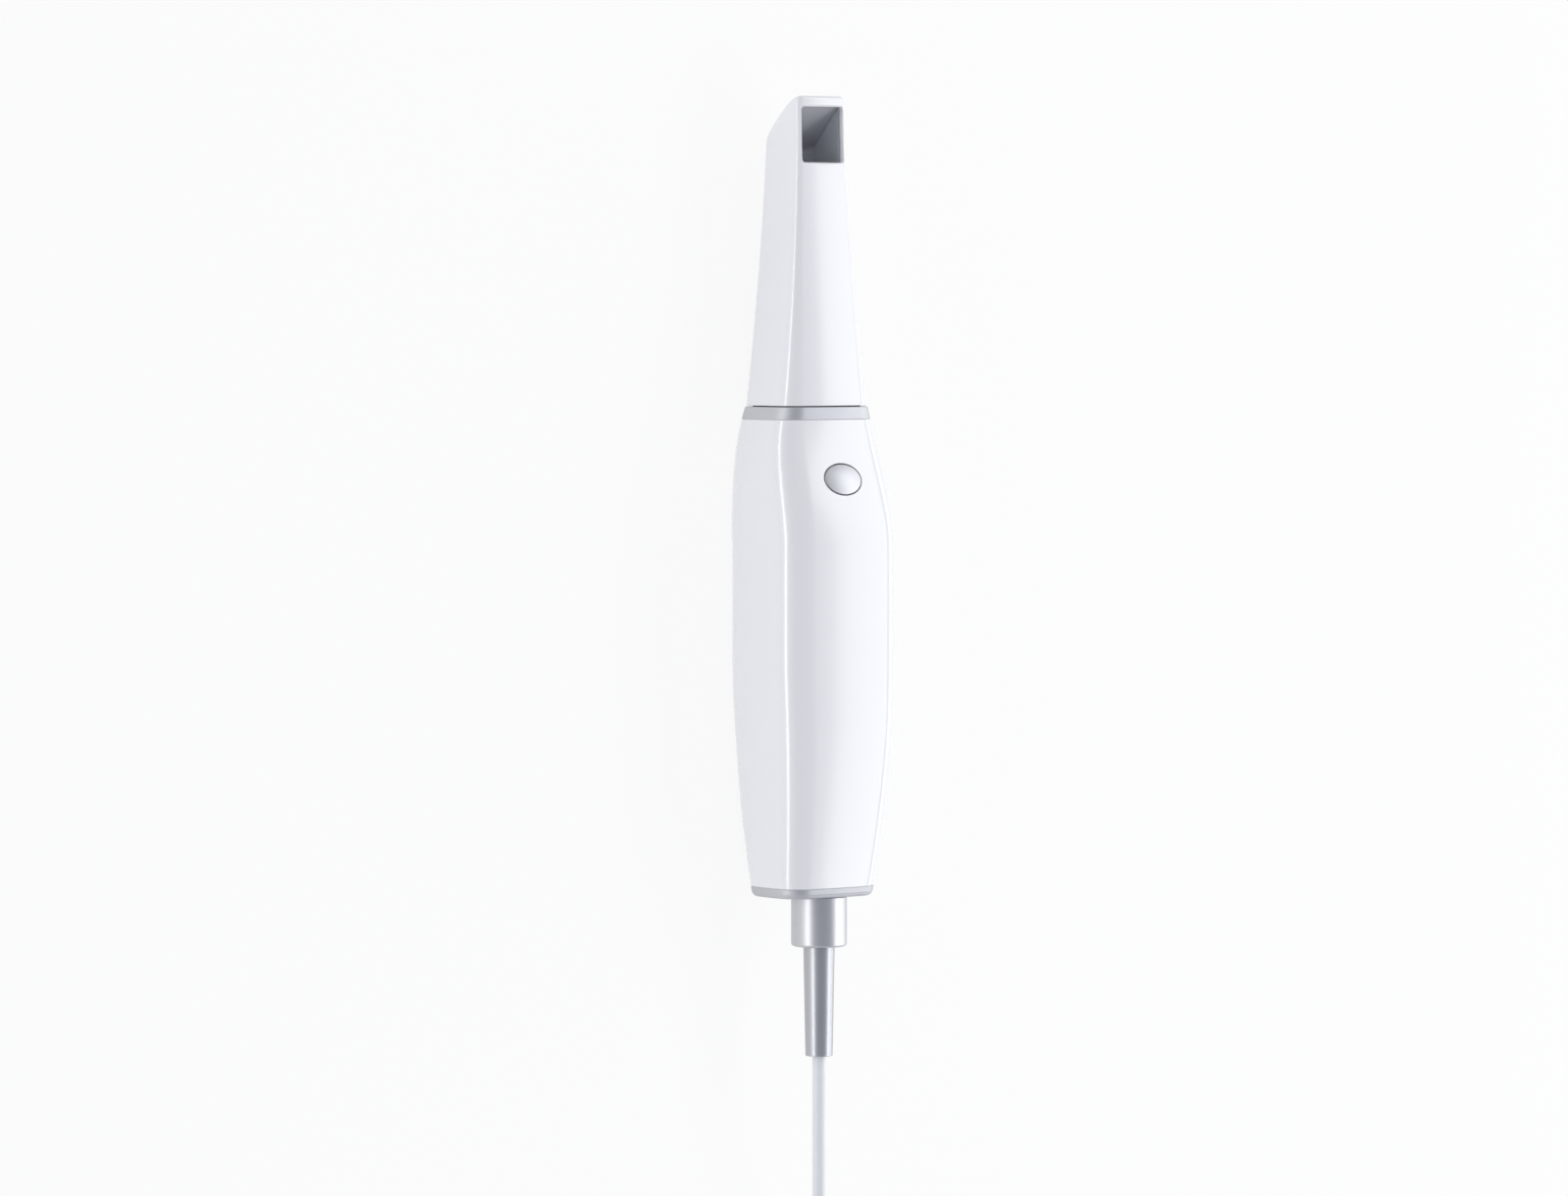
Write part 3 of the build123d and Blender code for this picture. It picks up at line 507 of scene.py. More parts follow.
def rounded_box(half_width, half_length, corner, steps=8):
    """Outline of a rectangle with round corners about the origin."""
    points = []
    for quarter, (side, end) in enumerate(((1, 1), (-1, 1), (-1, -1), (1, -1))):
        centre = Vector((side * (half_width - corner), end * (half_length - corner)))
        for step in range(steps + 1):
            turn = math.pi / 2 * (quarter + step / steps)
            points.append(centre + Vector((math.cos(turn), math.sin(turn))) * corner)
    return points


def quarter_round(radius, steps, first=0):
    """Steps around a rounded edge, each as mm in from the side and mm back from the end."""
    turns = [math.pi / 2 * step / steps for step in range(first, steps + 1)]
    return [(radius * (1 - math.cos(turn)), radius * (1 - math.sin(turn))) for turn in turns]


def spread(start, end, step):
    """Even places from start to end, about a step apart."""
    count = max(1, round(abs(end - start) / step))
    return [start + (end - start) * number / count for number in range(count + 1)]


# Making meshes


def select_only(piece):
    bpy.ops.object.select_all(action="DESELECT")
    piece.select_set(True)
    bpy.context.view_layer.objects.active = piece


def new_ring(name, count):
    """Ring of vertices to shape, with nothing else selected."""
    bpy.ops.object.select_all(action="DESELECT")
    bpy.ops.mesh.primitive_circle_add(vertices=count, radius=MM)
    piece = bpy.context.object
    piece.name = name
    piece.data.name = name
    return piece


def extrude_rings(name, rings, capped):
    """Extrudes a ring of vertices through outlines in the frame, then caps or joins its two ends."""
    piece = new_ring(name, len(rings[0]))
    bpy.ops.object.mode_set(mode="EDIT")
    bpy.ops.mesh.select_all(action="SELECT")
    for number, ring in enumerate(rings):
        if number:
            bpy.ops.mesh.extrude_region_move()
        mesh = bmesh.from_edit_mesh(piece.data)
        chosen = [vertex for vertex in mesh.verts if vertex.select]
        for vertex, point in zip(chosen, ring):
            vertex.co = point
        bmesh.update_edit_mesh(piece.data)
    bpy.ops.mesh.select_all(action="DESELECT")
    bpy.ops.mesh.select_non_manifold()
    if capped:
        bpy.ops.mesh.edge_face_add()
    else:
        bpy.ops.mesh.bridge_edge_loops()
    bpy.ops.mesh.select_all(action="SELECT")
    bpy.ops.mesh.normals_make_consistent(inside=False)
    bpy.ops.object.mode_set(mode="OBJECT")
    return piece


def loft(name, rings, capped=False):
    """Piece through outlines in mm about the cable axis."""
    placed = [[place(*point) for point in ring] for ring in rings]
    return extrude_rings(name, placed, capped)


def cut(piece, cutter):
    """Takes the cutter's shape out of a piece and deletes the cutter."""
    select_only(piece)
    hole = piece.modifiers.new("Hole", "BOOLEAN")
    hole.object = cutter
    hole.operation = "DIFFERENCE"
    hole.solver = "EXACT"
    bpy.ops.object.modifier_apply(modifier=hole.name)
    bpy.data.objects.remove(cutter)


def oval_bar(width, height, depth, matrix, segments=96):
    """Oval bar about a plane given by its matrix, in m."""
    bpy.ops.object.select_all(action="DESELECT")
    bpy.ops.mesh.primitive_cylinder_add(vertices=segments, radius=1.0, depth=2.0)
    bar = bpy.context.object
    bar.data.transform(Matrix.Diagonal((width / 2, height / 2, depth, 1.0)))
    bar.data.transform(matrix)
    return bar


def smooth(piece, angle=32.0):
    select_only(piece)
    bpy.ops.object.shade_smooth_by_angle(angle=math.radians(angle))


def finish_piece(piece, body, slot, material, *nodes):
    """Gives a piece its finish, the body it rides on and the nodes it stands for."""
    piece.data.materials.clear()
    piece.data.materials.append(material)
    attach(piece, body)
    if nodes:
        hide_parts(*nodes)


def front_button_matrix():
    """Plane of the front button, its Z out of the handle and its Y to the tip."""
    distance = BUTTON_PLACE
    origin = place(0.0, -distance, handle_size("front", distance))
    out = Vector((0.0, math.sin(FRONT_TILT), math.cos(FRONT_TILT)))
    ahead = Vector((0.0, math.cos(FRONT_TILT), -math.sin(FRONT_TILT)))
    return plane_matrix(origin, ahead, out)


def back_button_matrix():
    """Plane of the back button, level with the surface that the wand rests on."""
    origin = Vector((0.0, along(-BUTTON_PLACE) * MM, 0.0))
    return plane_matrix(origin, Vector((0.0, 1.0, 0.0)), Vector((0.0, 0.0, -1.0)))


def light_matrix():
    """Plane of the status light, level with the back of the handle there."""
    step = 0.1
    rise = handle_size("back", LIGHT_PLACE + step) - handle_size("back", LIGHT_PLACE - step)
    tilt = math.atan2(rise, 2 * step)
    origin = place(0.0, -LIGHT_PLACE, -handle_size("back", LIGHT_PLACE))
    out = Vector((0.0, math.sin(tilt), -math.cos(tilt)))
    ahead = Vector((0.0, math.cos(tilt), math.sin(tilt)))
    return plane_matrix(origin, ahead, out)


def plane_matrix(origin, ahead, out):
    return axes_matrix(origin, ahead.cross(out), ahead, out)


def axes_matrix(origin, across, ahead, out):
    """Placement at an origin with its X, Y and Z along three directions."""
    turn = Matrix((across, ahead, out)).transposed().to_4x4()
    return Matrix.Translation(origin) @ turn


# Materials


def new_material(name):
    material = bpy.data.materials.new(name)
    material.use_nodes = True
    tree = material.node_tree
    shader = next(node for node in tree.nodes if node.type == "BSDF_PRINCIPLED")
    return material, tree, shader


def noise(tree, scale, stretch=None):
    """Noise on the piece's own coordinates, stretched where the grain has a direction."""
    where = tree.nodes.new("ShaderNodeTexCoord").outputs["Object"]
    if stretch:
        mapping = tree.nodes.new("ShaderNodeMapping")
        mapping.inputs["Scale"].default_value = stretch
        tree.links.new(where, mapping.inputs["Vector"])
        where = mapping.outputs["Vector"]
    pattern = tree.nodes.new("ShaderNodeTexNoise")
    pattern.inputs["Scale"].default_value = scale
    tree.links.new(where, pattern.inputs["Vector"])
    return pattern.outputs["Fac"]


def shade(tree, shader, base, scale, drift):
    """Colour that drifts a little about its base."""
    ramp = tree.nodes.new("ShaderNodeValToRGB")
    low, high = ramp.color_ramp.elements
    low.position, high.position = DRIFT_ENDS
    low.color = (*(channel * (1 - drift) for channel in base), 1.0)
    high.color = (*(min(channel * (1 + drift), 1.0) for channel in base), 1.0)
    tree.links.new(noise(tree, scale), ramp.inputs["Fac"])
    tree.links.new(ramp.outputs["Color"], shader.inputs["Base Color"])


def roughness(tree, shader, scale, low, high, stretch=None):
    """Roughness that wanders between two values."""
    span = tree.nodes.new("ShaderNodeMapRange")
    span.inputs["To Min"].default_value = low
    span.inputs["To Max"].default_value = high
    tree.links.new(noise(tree, scale, stretch), span.inputs["Value"])
    tree.links.new(span.outputs["Result"], shader.inputs["Roughness"])


def grain(tree, shader, scale, strength, depth):
    """Fine relief of the surface, its depth in m."""
    bump = tree.nodes.new("ShaderNodeBump")
    bump.inputs["Strength"].default_value = strength
    bump.inputs["Distance"].default_value = depth
    tree.links.new(noise(tree, scale), bump.inputs["Height"])
    tree.links.new(bump.outputs["Normal"], shader.inputs["Normal"])


def moulded_white():
    material, tree, shader = new_material("moulded_white")
    shade(tree, shader, colours().body, scale=30.0, drift=0.004)
    roughness(tree, shader, scale=40.0, low=0.22, high=0.25)
    grain(tree, shader, scale=3000.0, strength=0.02, depth=0.000004)
    shader.inputs["IOR"].default_value = 1.5
    shader.inputs["Coat Weight"].default_value = 0.9
    shader.inputs["Coat Roughness"].default_value = 0.14
    return material


def satin_metal(name, base, rough):
    """Metal with a fine grain across the wand."""
    material, tree, shader = new_material(name)
    shade(tree, shader, base, scale=120.0, drift=0.02)
    roughness(tree, shader, scale=900.0, low=rough, high=rough + 0.06, stretch=(1.0, 12.0, 1.0))
    grain(tree, shader, scale=2400.0, strength=0.05, depth=0.00004)
    shader.inputs["Metallic"].default_value = 1.0
    return material


def plain_plastic(name, base, rough, drift=0.05):
    material, tree, shader = new_material(name)
    shade(tree, shader, base, scale=160.0, drift=drift)
    roughness(tree, shader, scale=700.0, low=rough, high=min(rough + 0.08, 1.0))
    grain(tree, shader, scale=1800.0, strength=0.06, depth=0.00006)
    return material


def mirror_painted_reflection(name):
    """Front-coated mirror whose grey colour is a painted reflection of the shaded inside of the tip."""
    material, tree, shader = new_material(name)
    # Painted reflection: the grey base stands in for what the mirror reflects, and with little metal it
    # shows as a diffuse grey
    shade(tree, shader, colours().mirror, scale=90.0, drift=0.015)
    roughness(tree, shader, scale=600.0, low=0.30, high=0.36)
    shader.inputs["Metallic"].default_value = 0.1
    return material


def clear_glass(name, base):
    material, tree, shader = new_material(name)
    shade(tree, shader, base, scale=80.0, drift=0.01)
    roughness(tree, shader, scale=500.0, low=0.02, high=0.05)
    shader.inputs["Transmission Weight"].default_value = 1.0
    shader.inputs["IOR"].default_value = 1.5
    return material


def cable_jacket():
    material, tree, shader = new_material("cable_jacket")
    shade(tree, shader, colours().cable, scale=200.0, drift=0.012)
    roughness(tree, shader, scale=1200.0, low=0.42, high=0.50)
    grain(tree, shader, scale=3000.0, strength=0.08, depth=0.00004)
    return material


def slot_material(name, kind, base):
    """Finish of a CAD node from its slot's class and colour in the record."""
    base = list(base)[:3]
    if kind == "mirror":
        return mirror_painted_reflection(name)
    if kind == "glass":
        return clear_glass(name, base)
    if kind in METAL_ROUGHNESS:
        return satin_metal(name, base, METAL_ROUGHNESS[kind])
    return plain_plastic(name, base, PLASTIC_ROUGHNESS[kind])


class ScannerOperator:
    bl_options = {"REGISTER", "UNDO"}


class SCANNER_OT_handle(ScannerOperator, bpy.types.Operator):
    """Model the white handle sleeve with its grip panels, button holes and light hole"""

    bl_idname = "scanner.handle"
    bl_label = "Handle sleeve"

    def execute(self, context):
        chosen = sizes()
        start = mm(chosen.collar_width)
        end = start + mm(chosen.sleeve_length)
        wall = mm(chosen.sleeve_wall)
        seam = mm(chosen.seam)
        fine_start = GRIP_START - GRIP_MARGIN[0]
        fine_end = GRIP_START + GRIP_SWEEP + GRIP_MARGIN[1]
        places = spread(start + seam, fine_start, SLEEVE_STEP)[:-1]
        places += spread(fine_start, fine_end, GRIP_STEP)[:-1]
        places += spread(fine_end, end - seam, SLEEVE_STEP)
        rings = [handle_ring(start, seam)]
        rings += [sink_grips(handle_ring(distance), distance) for distance in places]
        rings.append(handle_ring(end, seam))
        rings += [handle_ring(distance, wall) for distance in spread(end, start, SLEEVE_INNER_STEP)]
        sleeve = loft("sleeve", rings)
        gap = 2 * BUTTON_GAP * MM
        wide, tall = chosen.button_width + gap, chosen.button_height + gap
        for matrix in (front_button_matrix(), back_button_matrix()):
            cut(sleeve, oval_bar(wide, tall, HOLE_DEPTH, matrix))
        eye = 2 * (chosen.light_radius + LIGHT_RING * MM)
        cut(sleeve, oval_bar(eye, eye, HOLE_DEPTH, light_matrix()))
        smooth(sleeve)
        finish_piece(sleeve, "handle", "body_white", moulded_white(), "handle_sleeve")
        return {"FINISHED"}


class SCANNER_OT_bands(ScannerOperator, bpy.types.Operator):
    """Model the grey collar and the grey end cap"""

    bl_idname = "scanner.bands"
    bl_label = "Collar and end cap"

    def execute(self, context):
        metal = satin_metal("band_metal", colours().band, rough=0.56)
        finish_piece(self.collar(), "handle", "satin_grey", metal, "collar_ring")
        finish_piece(self.cap(), "handle", "satin_grey", metal, "end_cap")
        return {"FINISHED"}

    def collar(self):
        seam = mm(sizes().seam)
        width = mm(sizes().collar_width)
        rings = [handle_ring(0.0, seam), handle_ring(seam)]
        rings += [handle_ring(distance) for distance in spread(seam, width - seam, COLLAR_STEP)[1:]]
        rings.append(handle_ring(width, seam))
        port = tip_ring(0.0, PORT_INSET)
        rings += [self.moved(port, width), port]
        piece = loft("collar", rings)
        smooth(piece)
        return piece

    def cap(self):
        seam = mm(sizes().seam)
        front = mm(sizes().collar_width) + mm(sizes().sleeve_length)
        rear = front + mm(sizes().cap_band)
        rings = [handle_ring(front, seam), handle_ring(front + seam), handle_ring(rear - CAP_EDGE)]
        for inset, back in quarter_round(CAP_EDGE, CAP_EDGE_STEPS, 1):
            rings.append(self.moved(handle_ring(rear, inset), rear - back))
        bore = []
        for point in handle_ring(rear, CAP_EDGE):
            share = CAP_BORE / math.hypot(point.x, point.z)
            bore.append(Vector((point.x * share, 0.0, point.z * share)))
        rings += [self.moved(bore, rear), self.moved(bore, front)]
        piece = loft("end_band", rings)
        smooth(piece)
        return piece

    def moved(self, ring, distance):
        """The same outline this many mm behind the collar face."""
        return [Vector((point.x, -distance, point.z)) for point in ring]


class SCANNER_OT_tip(ScannerOperator, bpy.types.Operator):
    """Model the white mirror tip with its bulged slant and scan window"""

    bl_idname = "scanner.tip"
    bl_label = "Mirror tip"

    def execute(self, context):
        chosen = sizes()
        reach = mm(chosen.tip_reach)
        seam = mm(chosen.seam)
        start = TIP_GAP
        rings = [[Vector((p.x, start, p.z)) for p in tip_ring(start, seam, outer_slant)]]
        places = spread(start + seam, NOSE_RINGS_FROM, TIP_RING_STEP)[:-1]
        places += spread(NOSE_RINGS_FROM, reach - NOSE_SIDE_ROUND, NOSE_RING_STEP)
        places += [reach - back for _, back in quarter_round(NOSE_SIDE_ROUND, NOSE_STEPS, 1)]
        rings += [tip_ring(distance, 0.0, outer_slant) for distance in places]
        shell = loft("tip", rings, capped=True)
        places = spread(INNER_END, start - TIP_MOUTH, HOLLOW_STEP)
        inner = [tip_ring(distance, TIP_WALL, inner_slant) for distance in places]
        cut(shell, loft("tip_hollow", inner, capped=True))
        cut(shell, self.window())
        smooth(shell, TIP_SMOOTH)
        finish_piece(shell, "tip", "body_white", moulded_white(), "tip_shell")
        shield = self.shield()
        lining = plain_plastic("shield_satin", colours().shield, rough=0.42, drift=0.04)
        finish_piece(shield, "tip", "shield_black", lining, "tip_liner")
        return {"FINISHED"}

    def shield(self):
        """Thin tube that lines the tip, open at the window and slotted for the mirror."""
        places = spread(SHIELD_START, SHIELD_END, TIP_RING_STEP)
        rings = [tip_ring(distance, SHIELD_INSET, inner_slant) for distance in places]
        within = SHIELD_INSET + SHIELD_WALL
        rings += [tip_ring(distance, within, inner_slant) for distance in reversed(places)]
        tube = loft("shield", rings)
        chosen = sizes()
        opening = mm(chosen.tip_reach - chosen.window_inset - chosen.window_length) - WINDOW_CORNER / 2
        reach = mm(chosen.tip_reach)
        between = MIRROR_HALF_WIDTH + SHIELD_CLEARANCE
        for depth, half in ((SHIELD_RIM, COLLAR["half_width"]), (SHIELD_MOUTH, between)):
            mouth = [(opening, depth), (reach, depth), (reach, reach), (opening, reach)]
            self.cut_prism(tube, mouth, half)
        face = MIRROR_FACE - SHIELD_CLEARANCE
        slot = [(reach, reach - face), (MIRROR_FOOT, MIRROR_FOOT - face)]
        slot.append((MIRROR_FOOT + MIRROR_SLOT, MIRROR_FOOT - MIRROR_SLOT - face))
        slot.append((reach, reach - 2 * MIRROR_SLOT - face))
        self.cut_prism(tube, slot, between)
        smooth(tube)
        return tube

    def cut_prism(self, piece, profile, half):
        """Cuts a prism across the tip, its profile in mm along and above the cable axis."""
        rings = []
        for side in (-half, half):
            rings.append([Vector((side, distance, height)) for distance, height in profile])
        cut(piece, loft("prism", rings, capped=True))

    def window(self):
        """Cutter of the scan window: straight below, flared at its rim to leave a narrow chamfer."""
        chosen = sizes()
        end = mm(chosen.tip_reach - chosen.window_inset)
        start = end - mm(chosen.window_length)
        half = mm(chosen.window_width) / 2
        middle = (start + end) / 2
        rings = []
        lifted = WINDOW_CHAMFER - WINDOW_FLARE
        for flare, drop in ((0.0, None), (0.0, WINDOW_CHAMFER), (WINDOW_FLARE, lifted)):
            ring = []
            for point in rounded_box(half + flare, (end - start) / 2 + flare, WINDOW_CORNER + flare):
                distance = middle + point.y
                height = WINDOW_FLOOR if drop is None else tip_size("front", distance) - drop
                ring.append(Vector((point.x, distance, height)))
            rings.append(ring)
        return loft("window", rings, capped=True)


class SCANNER_OT_buttons(ScannerOperator, bpy.types.Operator):
    """Model the domed press buttons and the status light's lens"""

    bl_idname = "scanner.buttons"
    bl_label = "Buttons and light"

    def execute(self, context):
        chosen = sizes()
        silver = satin_metal("button_silver", colours().button, rough=0.36)
        wide, tall = mm(chosen.button_width) / 2, mm(chosen.button_height) / 2
        front = self.dome("front_cap", wide, tall, BUTTON_PROUD, front_button_matrix())
        finish_piece(front, "front_key", "button_silver", silver, "front_button")
        back = self.dome("back_cap", wide, tall, -BUTTON_RECESS, back_button_matrix())
        finish_piece(back, "back_key", "button_silver", silver, "back_button")
        eye = self.lens(mm(chosen.light_radius))
        lens = plain_plastic("light_lens", colours().light, rough=0.3, drift=0.02)
        finish_piece(eye, "handle", "light_lens", lens, "light_lens")
        rim = plain_plastic("light_rim", colours().light_rim, rough=0.4, drift=0.02)
        eye.data.materials.append(rim)
        inside = chosen.light_radius - LIGHT_RIM * MM
        matrix = light_matrix().inverted()
        for face in eye.data.polygons:
            local = matrix @ face.center
            if math.hypot(local.x, local.y) > inside:
                face.material_index = 1
        return {"FINISHED"}

    def stack(self, name, outlines, matrix, segments=72):
        """Closed piece through ovals in mm: half width, half height and height above the plane."""
        turns = [2 * math.pi * step / segments for step in range(segments)]
        rings = []
        for wide, tall, height in outlines:
            points = [Vector((wide * math.cos(a), tall * math.sin(a), height)) * MM for a in turns]
            rings.append([matrix @ point for point in points])
        piece = extrude_rings(name, rings, capped=True)
        smooth(piece)
        return piece

    def dome(self, name, wide, tall, proud, matrix):
        """Button with a stem and a flange under it and a domed top."""
        foot = -BUTTON_DEPTH - BUTTON_FLANGE
        outlines = [
            (STEM_RADIUS, STEM_RADIUS, foot - STEM_LENGTH),
            (STEM_RADIUS, STEM_RADIUS, foot),
            (wide + BUTTON_LIP, tall + BUTTON_LIP, foot),
            (wide + BUTTON_LIP, tall + BUTTON_LIP, -BUTTON_DEPTH),
            (wide, tall, -BUTTON_DEPTH),
        ]
        shoulder = proud - BUTTON_DOME
        for inset, back in quarter_round(BUTTON_EDGE, BUTTON_EDGE_STEPS):
            outlines.append((wide - inset, tall - inset, shoulder - back))
        top_wide, top_tall = wide - BUTTON_EDGE, tall - BUTTON_EDGE
        for step in range(1, BUTTON_DOME_STEPS):
            share = 1 - step / BUTTON_DOME_STEPS
            outlines.append((top_wide * share, top_tall * share, shoulder + BUTTON_DOME * (1 - share**2)))
        outlines.append((top_wide * BUTTON_TOP, top_tall * BUTTON_TOP, proud))
        return self.stack(name, outlines, matrix)

    def lens(self, radius):
        rings = [(radius + out, height) for out, height in LENS_RINGS]
        rings += [(radius * share, height) for share, height in LENS_CROWN]
        outlines = [(reach, reach, height - LIGHT_RECESS) for reach, height in rings]
        return self.stack("light_eye", outlines, light_matrix())


class SCANNER_OT_gland(ScannerOperator, bpy.types.Operator):
    """Model the cable gland and the tapered strain relief"""

    bl_idname = "scanner.gland"
    bl_label = "Gland and strain relief"

    def execute(self, context):
        chosen = sizes()
        handle = mm(chosen.collar_width + chosen.sleeve_length + chosen.cap_band)
        end = handle + mm(chosen.gland_length)
        gland = self.spin("gland", self.gland_profile(mm(chosen.gland_radius), handle, end))
        metal = satin_metal("gland_metal", colours().band, rough=0.38)
        finish_piece(gland, "handle", "satin_grey", metal, "cable_gland")
        radii = mm(chosen.relief_start), mm(chosen.relief_end)
        tail = end + mm(chosen.relief_length)
        relief = self.spin("relief", self.relief_profile(radii, end, tail))
        satin = satin_metal("relief_satin", colours().relief, rough=0.36)
        finish_piece(relief, "handle", "relief_grey", satin, "strain_relief")
        return {"FINISHED"}

    def gland_profile(self, radius, start, end):
        profile = [(GLAND_NECK, GLAND_ROOT), (GLAND_NECK, start)]
        profile += [(radius - GLAND_CHAMFER, start), (radius, start + GLAND_CHAMFER)]
        edge = quarter_round(GLAND_EDGE, GLAND_EDGE_STEPS)
        profile += [(radius - inset, end - back) for inset, back in edge]
        seat = end - SOCKET_DEPTH
        profile += [(SOCKET_RADIUS, end), (SOCKET_RADIUS, seat)]
        profile += [(LEAD_BORE, seat), (LEAD_BORE, GLAND_ROOT)]
        return profile

    def relief_profile(self, radii, start, end):
        first, last = radii
        seat = start - SOCKET_DEPTH
        shoulder = start - RELIEF_SHOULDER
        profile = [(RELIEF_ROOT, seat), (RELIEF_ROOT, shoulder), (first, shoulder)]
        for step in range(RELIEF_STEPS + 1):
            share = step / RELIEF_STEPS
            profile.append((first + (last - first) * share, start + (end - start - RELIEF_EDGE) * share))
        edge = quarter_round(RELIEF_EDGE, RELIEF_EDGE_STEPS, 1)
        profile += [(last - inset, end - back) for inset, back in edge]
        profile += [(LEAD_BORE, end), (LEAD_BORE, seat)]
        return profile

    def spin(self, name, profile, steps=96):
        """Turns a closed profile of (radius, distance behind the collar) about the cable axis."""
        piece = new_ring(name, len(profile))
        for vertex, (radius, distance) in zip(piece.data.vertices, profile):
            vertex.co = place(radius, -distance, 0.0)
        bpy.ops.object.mode_set(mode="EDIT")
        bpy.ops.mesh.select_all(action="SELECT")
        centre = place(0.0, 0.0, 0.0)
        bpy.ops.mesh.spin(steps=steps, angle=2 * math.pi, center=centre, axis=(0.0, 1.0, 0.0))
        bpy.ops.mesh.select_all(action="SELECT")
        bpy.ops.mesh.remove_doubles(threshold=SAME_PLACE)
        bpy.ops.mesh.normals_make_consistent(inside=False)
        bpy.ops.object.mode_set(mode="OBJECT")
        smooth(piece)
        return piece


class SCANNER_OT_cable(ScannerOperator, bpy.types.Operator):
    bl_idname = "scanner.cable"
    bl_label = "Cable"

    def execute(self, context):
        chosen = sizes()
        points = [Vector(point) for point in RUN_POINTS]
        points += self.coil()
        points += [Vector(point) for point in TAIL_POINTS]
        curve = bpy.data.curves.new("cable", "CURVE")
        curve.dimensions = "3D"
        spline = curve.splines.new("NURBS")
        spline.points.add(len(points) - 1)
        for target, point in zip(spline.points, points):
            target.co = (*(point * MM), 1.0)
        spline.order_u = 3
        spline.use_endpoint_u = True
        spline.resolution_u = 8
        curve.bevel_depth = chosen.cable_diameter / 2
        curve.bevel_resolution = 6
        curve.use_fill_caps = True
        cable = bpy.data.objects.new("cable", curve)
        context.scene.collection.objects.link(cable)
        nodes = ("cable_run", "cable_tail", "cable_coil")
        finish_piece(cable, "handle", "cable_grey", cable_jacket(), *nodes)
        return {"FINISHED"}

    def coil(self):
        """Turns of the coil from the floor up, outer to inner and back, layer by layer."""
        turns = []
        for layer in range(COIL_LAYERS):
            radii = COIL_RADII if layer % 2 == 0 else COIL_RADII[::-1]
            turns += [(radius, COIL_FLOOR + COIL_PITCH * layer) for radius in radii]
        turns.append(turns[-1])
        points = []
        for step in range(1, (len(turns) - 1) * TURN_POINTS):
            number, part = divmod(step, TURN_POINTS)
            now, ahead = turns[number], turns[number + 1]
            share = smooth_step((part / TURN_POINTS - 1 + CROSS_SHARE) / CROSS_SHARE)
            radius = now[0] + (ahead[0] - now[0]) * share
            height = now[1] + (ahead[1] - now[1]) * share
            angle = -2 * math.pi * step / TURN_POINTS
            x = COIL_CENTRE[0] + radius * math.cos(angle)
            y = COIL_CENTRE[1] + radius * math.sin(angle)
            points.append(Vector((x, y, height)))
        return points


class SCANNER_OT_finishes(ScannerOperator, bpy.types.Operator):
    """Give every solid that stays its finish from the record"""

    bl_idname = "scanner.finishes"
    bl_label = "Finishes of the inner pieces"

    def execute(self, context):
        record = frame["record"]
        made = {}
        for entry in record["materials"]:
            slot = entry["slot"]
            made[slot] = slot_material(slot + "_finish", entry["class"], entry["base_color"])
        for part in record["subparts"]:
            node = frame["nodes"][part["node"]]
            node.data.materials.clear()
            node.data.materials.append(made[part["material_slot"]])
        return {"FINISHED"}


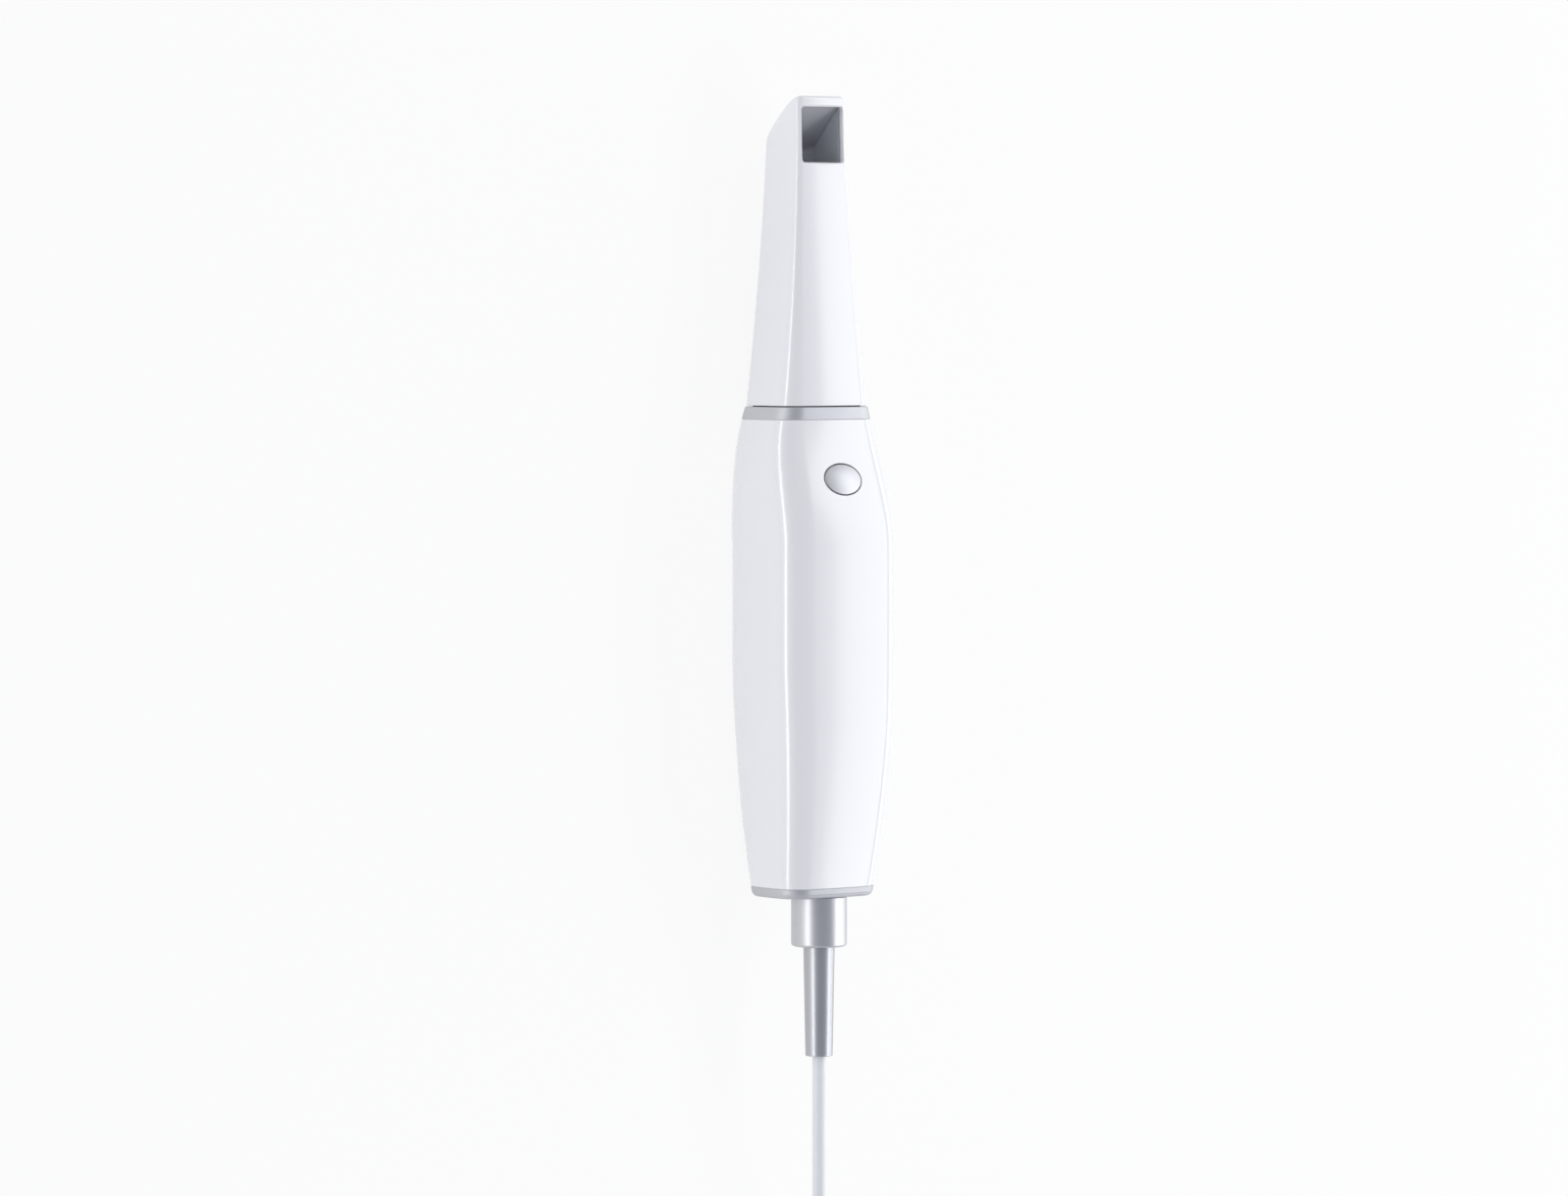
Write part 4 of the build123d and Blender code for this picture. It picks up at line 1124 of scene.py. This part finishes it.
class SCANNER_OT_stage(ScannerOperator, bpy.types.Operator):
    """Set the floor, the lights and the camera"""

    bl_idname = "scanner.stage"
    bl_label = "Floor, lights and camera"

    def execute(self, context):
        self.floor()
        self.world()
        for lamp in LAMPS:
            self.lamp(*lamp)
        self.camera()
        context.scene.view_settings.view_transform = "Standard"
        return {"FINISHED"}

    def floor(self):
        """Pale floor that takes the shadow and looks white from the camera and in reflections."""
        bpy.ops.object.select_all(action="DESELECT")
        bpy.ops.mesh.primitive_plane_add(size=bpy.context.scene.scanner_stage.floor_size)
        ground = bpy.context.object
        ground.name = "floor"
        ground.location = (0.0, 0.0, -FLOOR_DROP)
        material = bpy.data.materials.new("floor_white")
        material.use_nodes = True
        tree = material.node_tree
        tree.nodes.clear()
        output = tree.nodes.new("ShaderNodeOutputMaterial")
        path = tree.nodes.new("ShaderNodeLightPath")
        matte = tree.nodes.new("ShaderNodeBsdfDiffuse")
        matte.inputs["Color"].default_value = (*FLOOR_COLOUR, 1.0)
        glow = tree.nodes.new("ShaderNodeEmission")
        glow.inputs["Color"].default_value = (*WHITE, 1.0)
        seen = path.outputs["Is Camera Ray"]
        for ray in ("Is Glossy Ray", "Is Transmission Ray"):
            either = tree.nodes.new("ShaderNodeMath")
            either.operation = "MAXIMUM"
            tree.links.new(seen, either.inputs[0])
            tree.links.new(path.outputs[ray], either.inputs[1])
            seen = either.outputs[0]
        share = tree.nodes.new("ShaderNodeMath")
        share.operation = "MULTIPLY"
        share.inputs[1].default_value = FLOOR_WHITE_SHARE
        tree.links.new(seen, share.inputs[0])
        mix = tree.nodes.new("ShaderNodeMixShader")
        tree.links.new(share.outputs[0], mix.inputs["Fac"])
        tree.links.new(matte.outputs[0], mix.inputs[1])
        tree.links.new(glow.outputs[0], mix.inputs[2])
        tree.links.new(mix.outputs[0], output.inputs["Surface"])
        ground.data.materials.append(material)

    def world(self):
        """Studio surround: white at the horizon, dimmer overhead."""
        world = bpy.context.scene.world or bpy.data.worlds.new("studio")
        bpy.context.scene.world = world
        world.use_nodes = True
        tree = world.node_tree
        tree.nodes.clear()
        output = tree.nodes.new("ShaderNodeOutputWorld")
        where = tree.nodes.new("ShaderNodeTexCoord")
        split = tree.nodes.new("ShaderNodeSeparateXYZ")
        fade = tree.nodes.new("ShaderNodeValToRGB")
        fade.color_ramp.interpolation = "EASE"
        low, high = fade.color_ramp.elements
        low.position, high.position = HORIZON_FADE
        low.color = (*WHITE, 1.0)
        high.color = (*OVERHEAD, 1.0)
        glow = tree.nodes.new("ShaderNodeBackground")
        tree.links.new(where.outputs["Generated"], split.inputs["Vector"])
        tree.links.new(split.outputs["Z"], fade.inputs["Fac"])
        tree.links.new(fade.outputs["Color"], glow.inputs["Color"])
        tree.links.new(glow.outputs["Background"], output.inputs["Surface"])

    def lamp(self, name, azimuth, elevation, width, power):
        """Soft box that looks at the wand from a compass direction and a height."""
        turn, rise = math.radians(azimuth), math.radians(elevation)
        out = Vector((math.sin(turn) * math.cos(rise), math.cos(turn) * math.cos(rise), math.sin(rise)))
        data = bpy.data.lights.new(name, "AREA")
        data.shape = "RECTANGLE"
        data.size, data.size_y = width, LAMP_LENGTH
        data.energy = power
        box = bpy.data.objects.new(name, data)
        along_wand = Vector((0.0, 1.0, 0.0))
        side = along_wand.cross(out).normalized()
        box.matrix_world = axes_matrix(Vector(LAMP_TARGET) + out * LAMP_DISTANCE, side, along_wand, out)
        bpy.context.scene.collection.objects.link(box)

    def camera(self):
        stage = bpy.context.scene.scanner_stage
        data = bpy.data.cameras.new("camera")
        data.sensor_fit = "HORIZONTAL"
        data.sensor_width = SENSOR_WIDTH
        data.lens = data.sensor_width * stage.distance / stage.frame_width
        data.shift_y = -stage.drop / stage.frame_width
        data.clip_end = VIEW_END
        eye = bpy.data.objects.new("camera", data)
        right = Vector((math.cos(stage.turn), 0.0, math.sin(stage.turn)))
        back = Vector((-math.sin(stage.turn), 0.0, math.cos(stage.turn)))
        up = Vector((0.0, 1.0, 0.0))
        axis = Vector((0.0, stage.eye, AXIS_HEIGHT * MM))
        spot = axis - right * stage.side_step + back * stage.distance
        eye.matrix_world = axes_matrix(spot, right, up, back)
        bpy.context.scene.collection.objects.link(eye)
        bpy.context.scene.camera = eye


class SCANNER_PT_panel(bpy.types.Panel):
    bl_idname = "SCANNER_PT_panel"
    bl_label = "Intraoral scanner"
    bl_space_type = "VIEW_3D"
    bl_region_type = "UI"
    bl_category = "Scanner"

    def draw(self, context):
        for step in STEPS:
            self.layout.operator(step.bl_idname)


STEPS = (
    SCANNER_OT_stage,
    SCANNER_OT_finishes,
    SCANNER_OT_cable,
    SCANNER_OT_handle,
    SCANNER_OT_bands,
    SCANNER_OT_tip,
    SCANNER_OT_buttons,
    SCANNER_OT_gland,
)
GROUPS = (
    (ScannerSizes, "scanner_sizes"),
    (ScannerColours, "scanner_colours"),
    (ScannerStage, "scanner_stage"),
)


def register():
    for group, name in GROUPS:
        bpy.utils.register_class(group)
        setattr(bpy.types.Scene, name, PointerProperty(type=group))
    for step in STEPS:
        bpy.utils.register_class(step)
    bpy.utils.register_class(SCANNER_PT_panel)


def unregister():
    bpy.utils.unregister_class(SCANNER_PT_panel)
    for step in reversed(STEPS):
        bpy.utils.unregister_class(step)
    for group, name in reversed(GROUPS):
        delattr(bpy.types.Scene, name)
        bpy.utils.unregister_class(group)


def main():
    register()
    for step in STEPS:
        group, name = step.bl_idname.split(".")
        getattr(getattr(bpy.ops, group), name)()


if __name__ == "__main__":
    main()
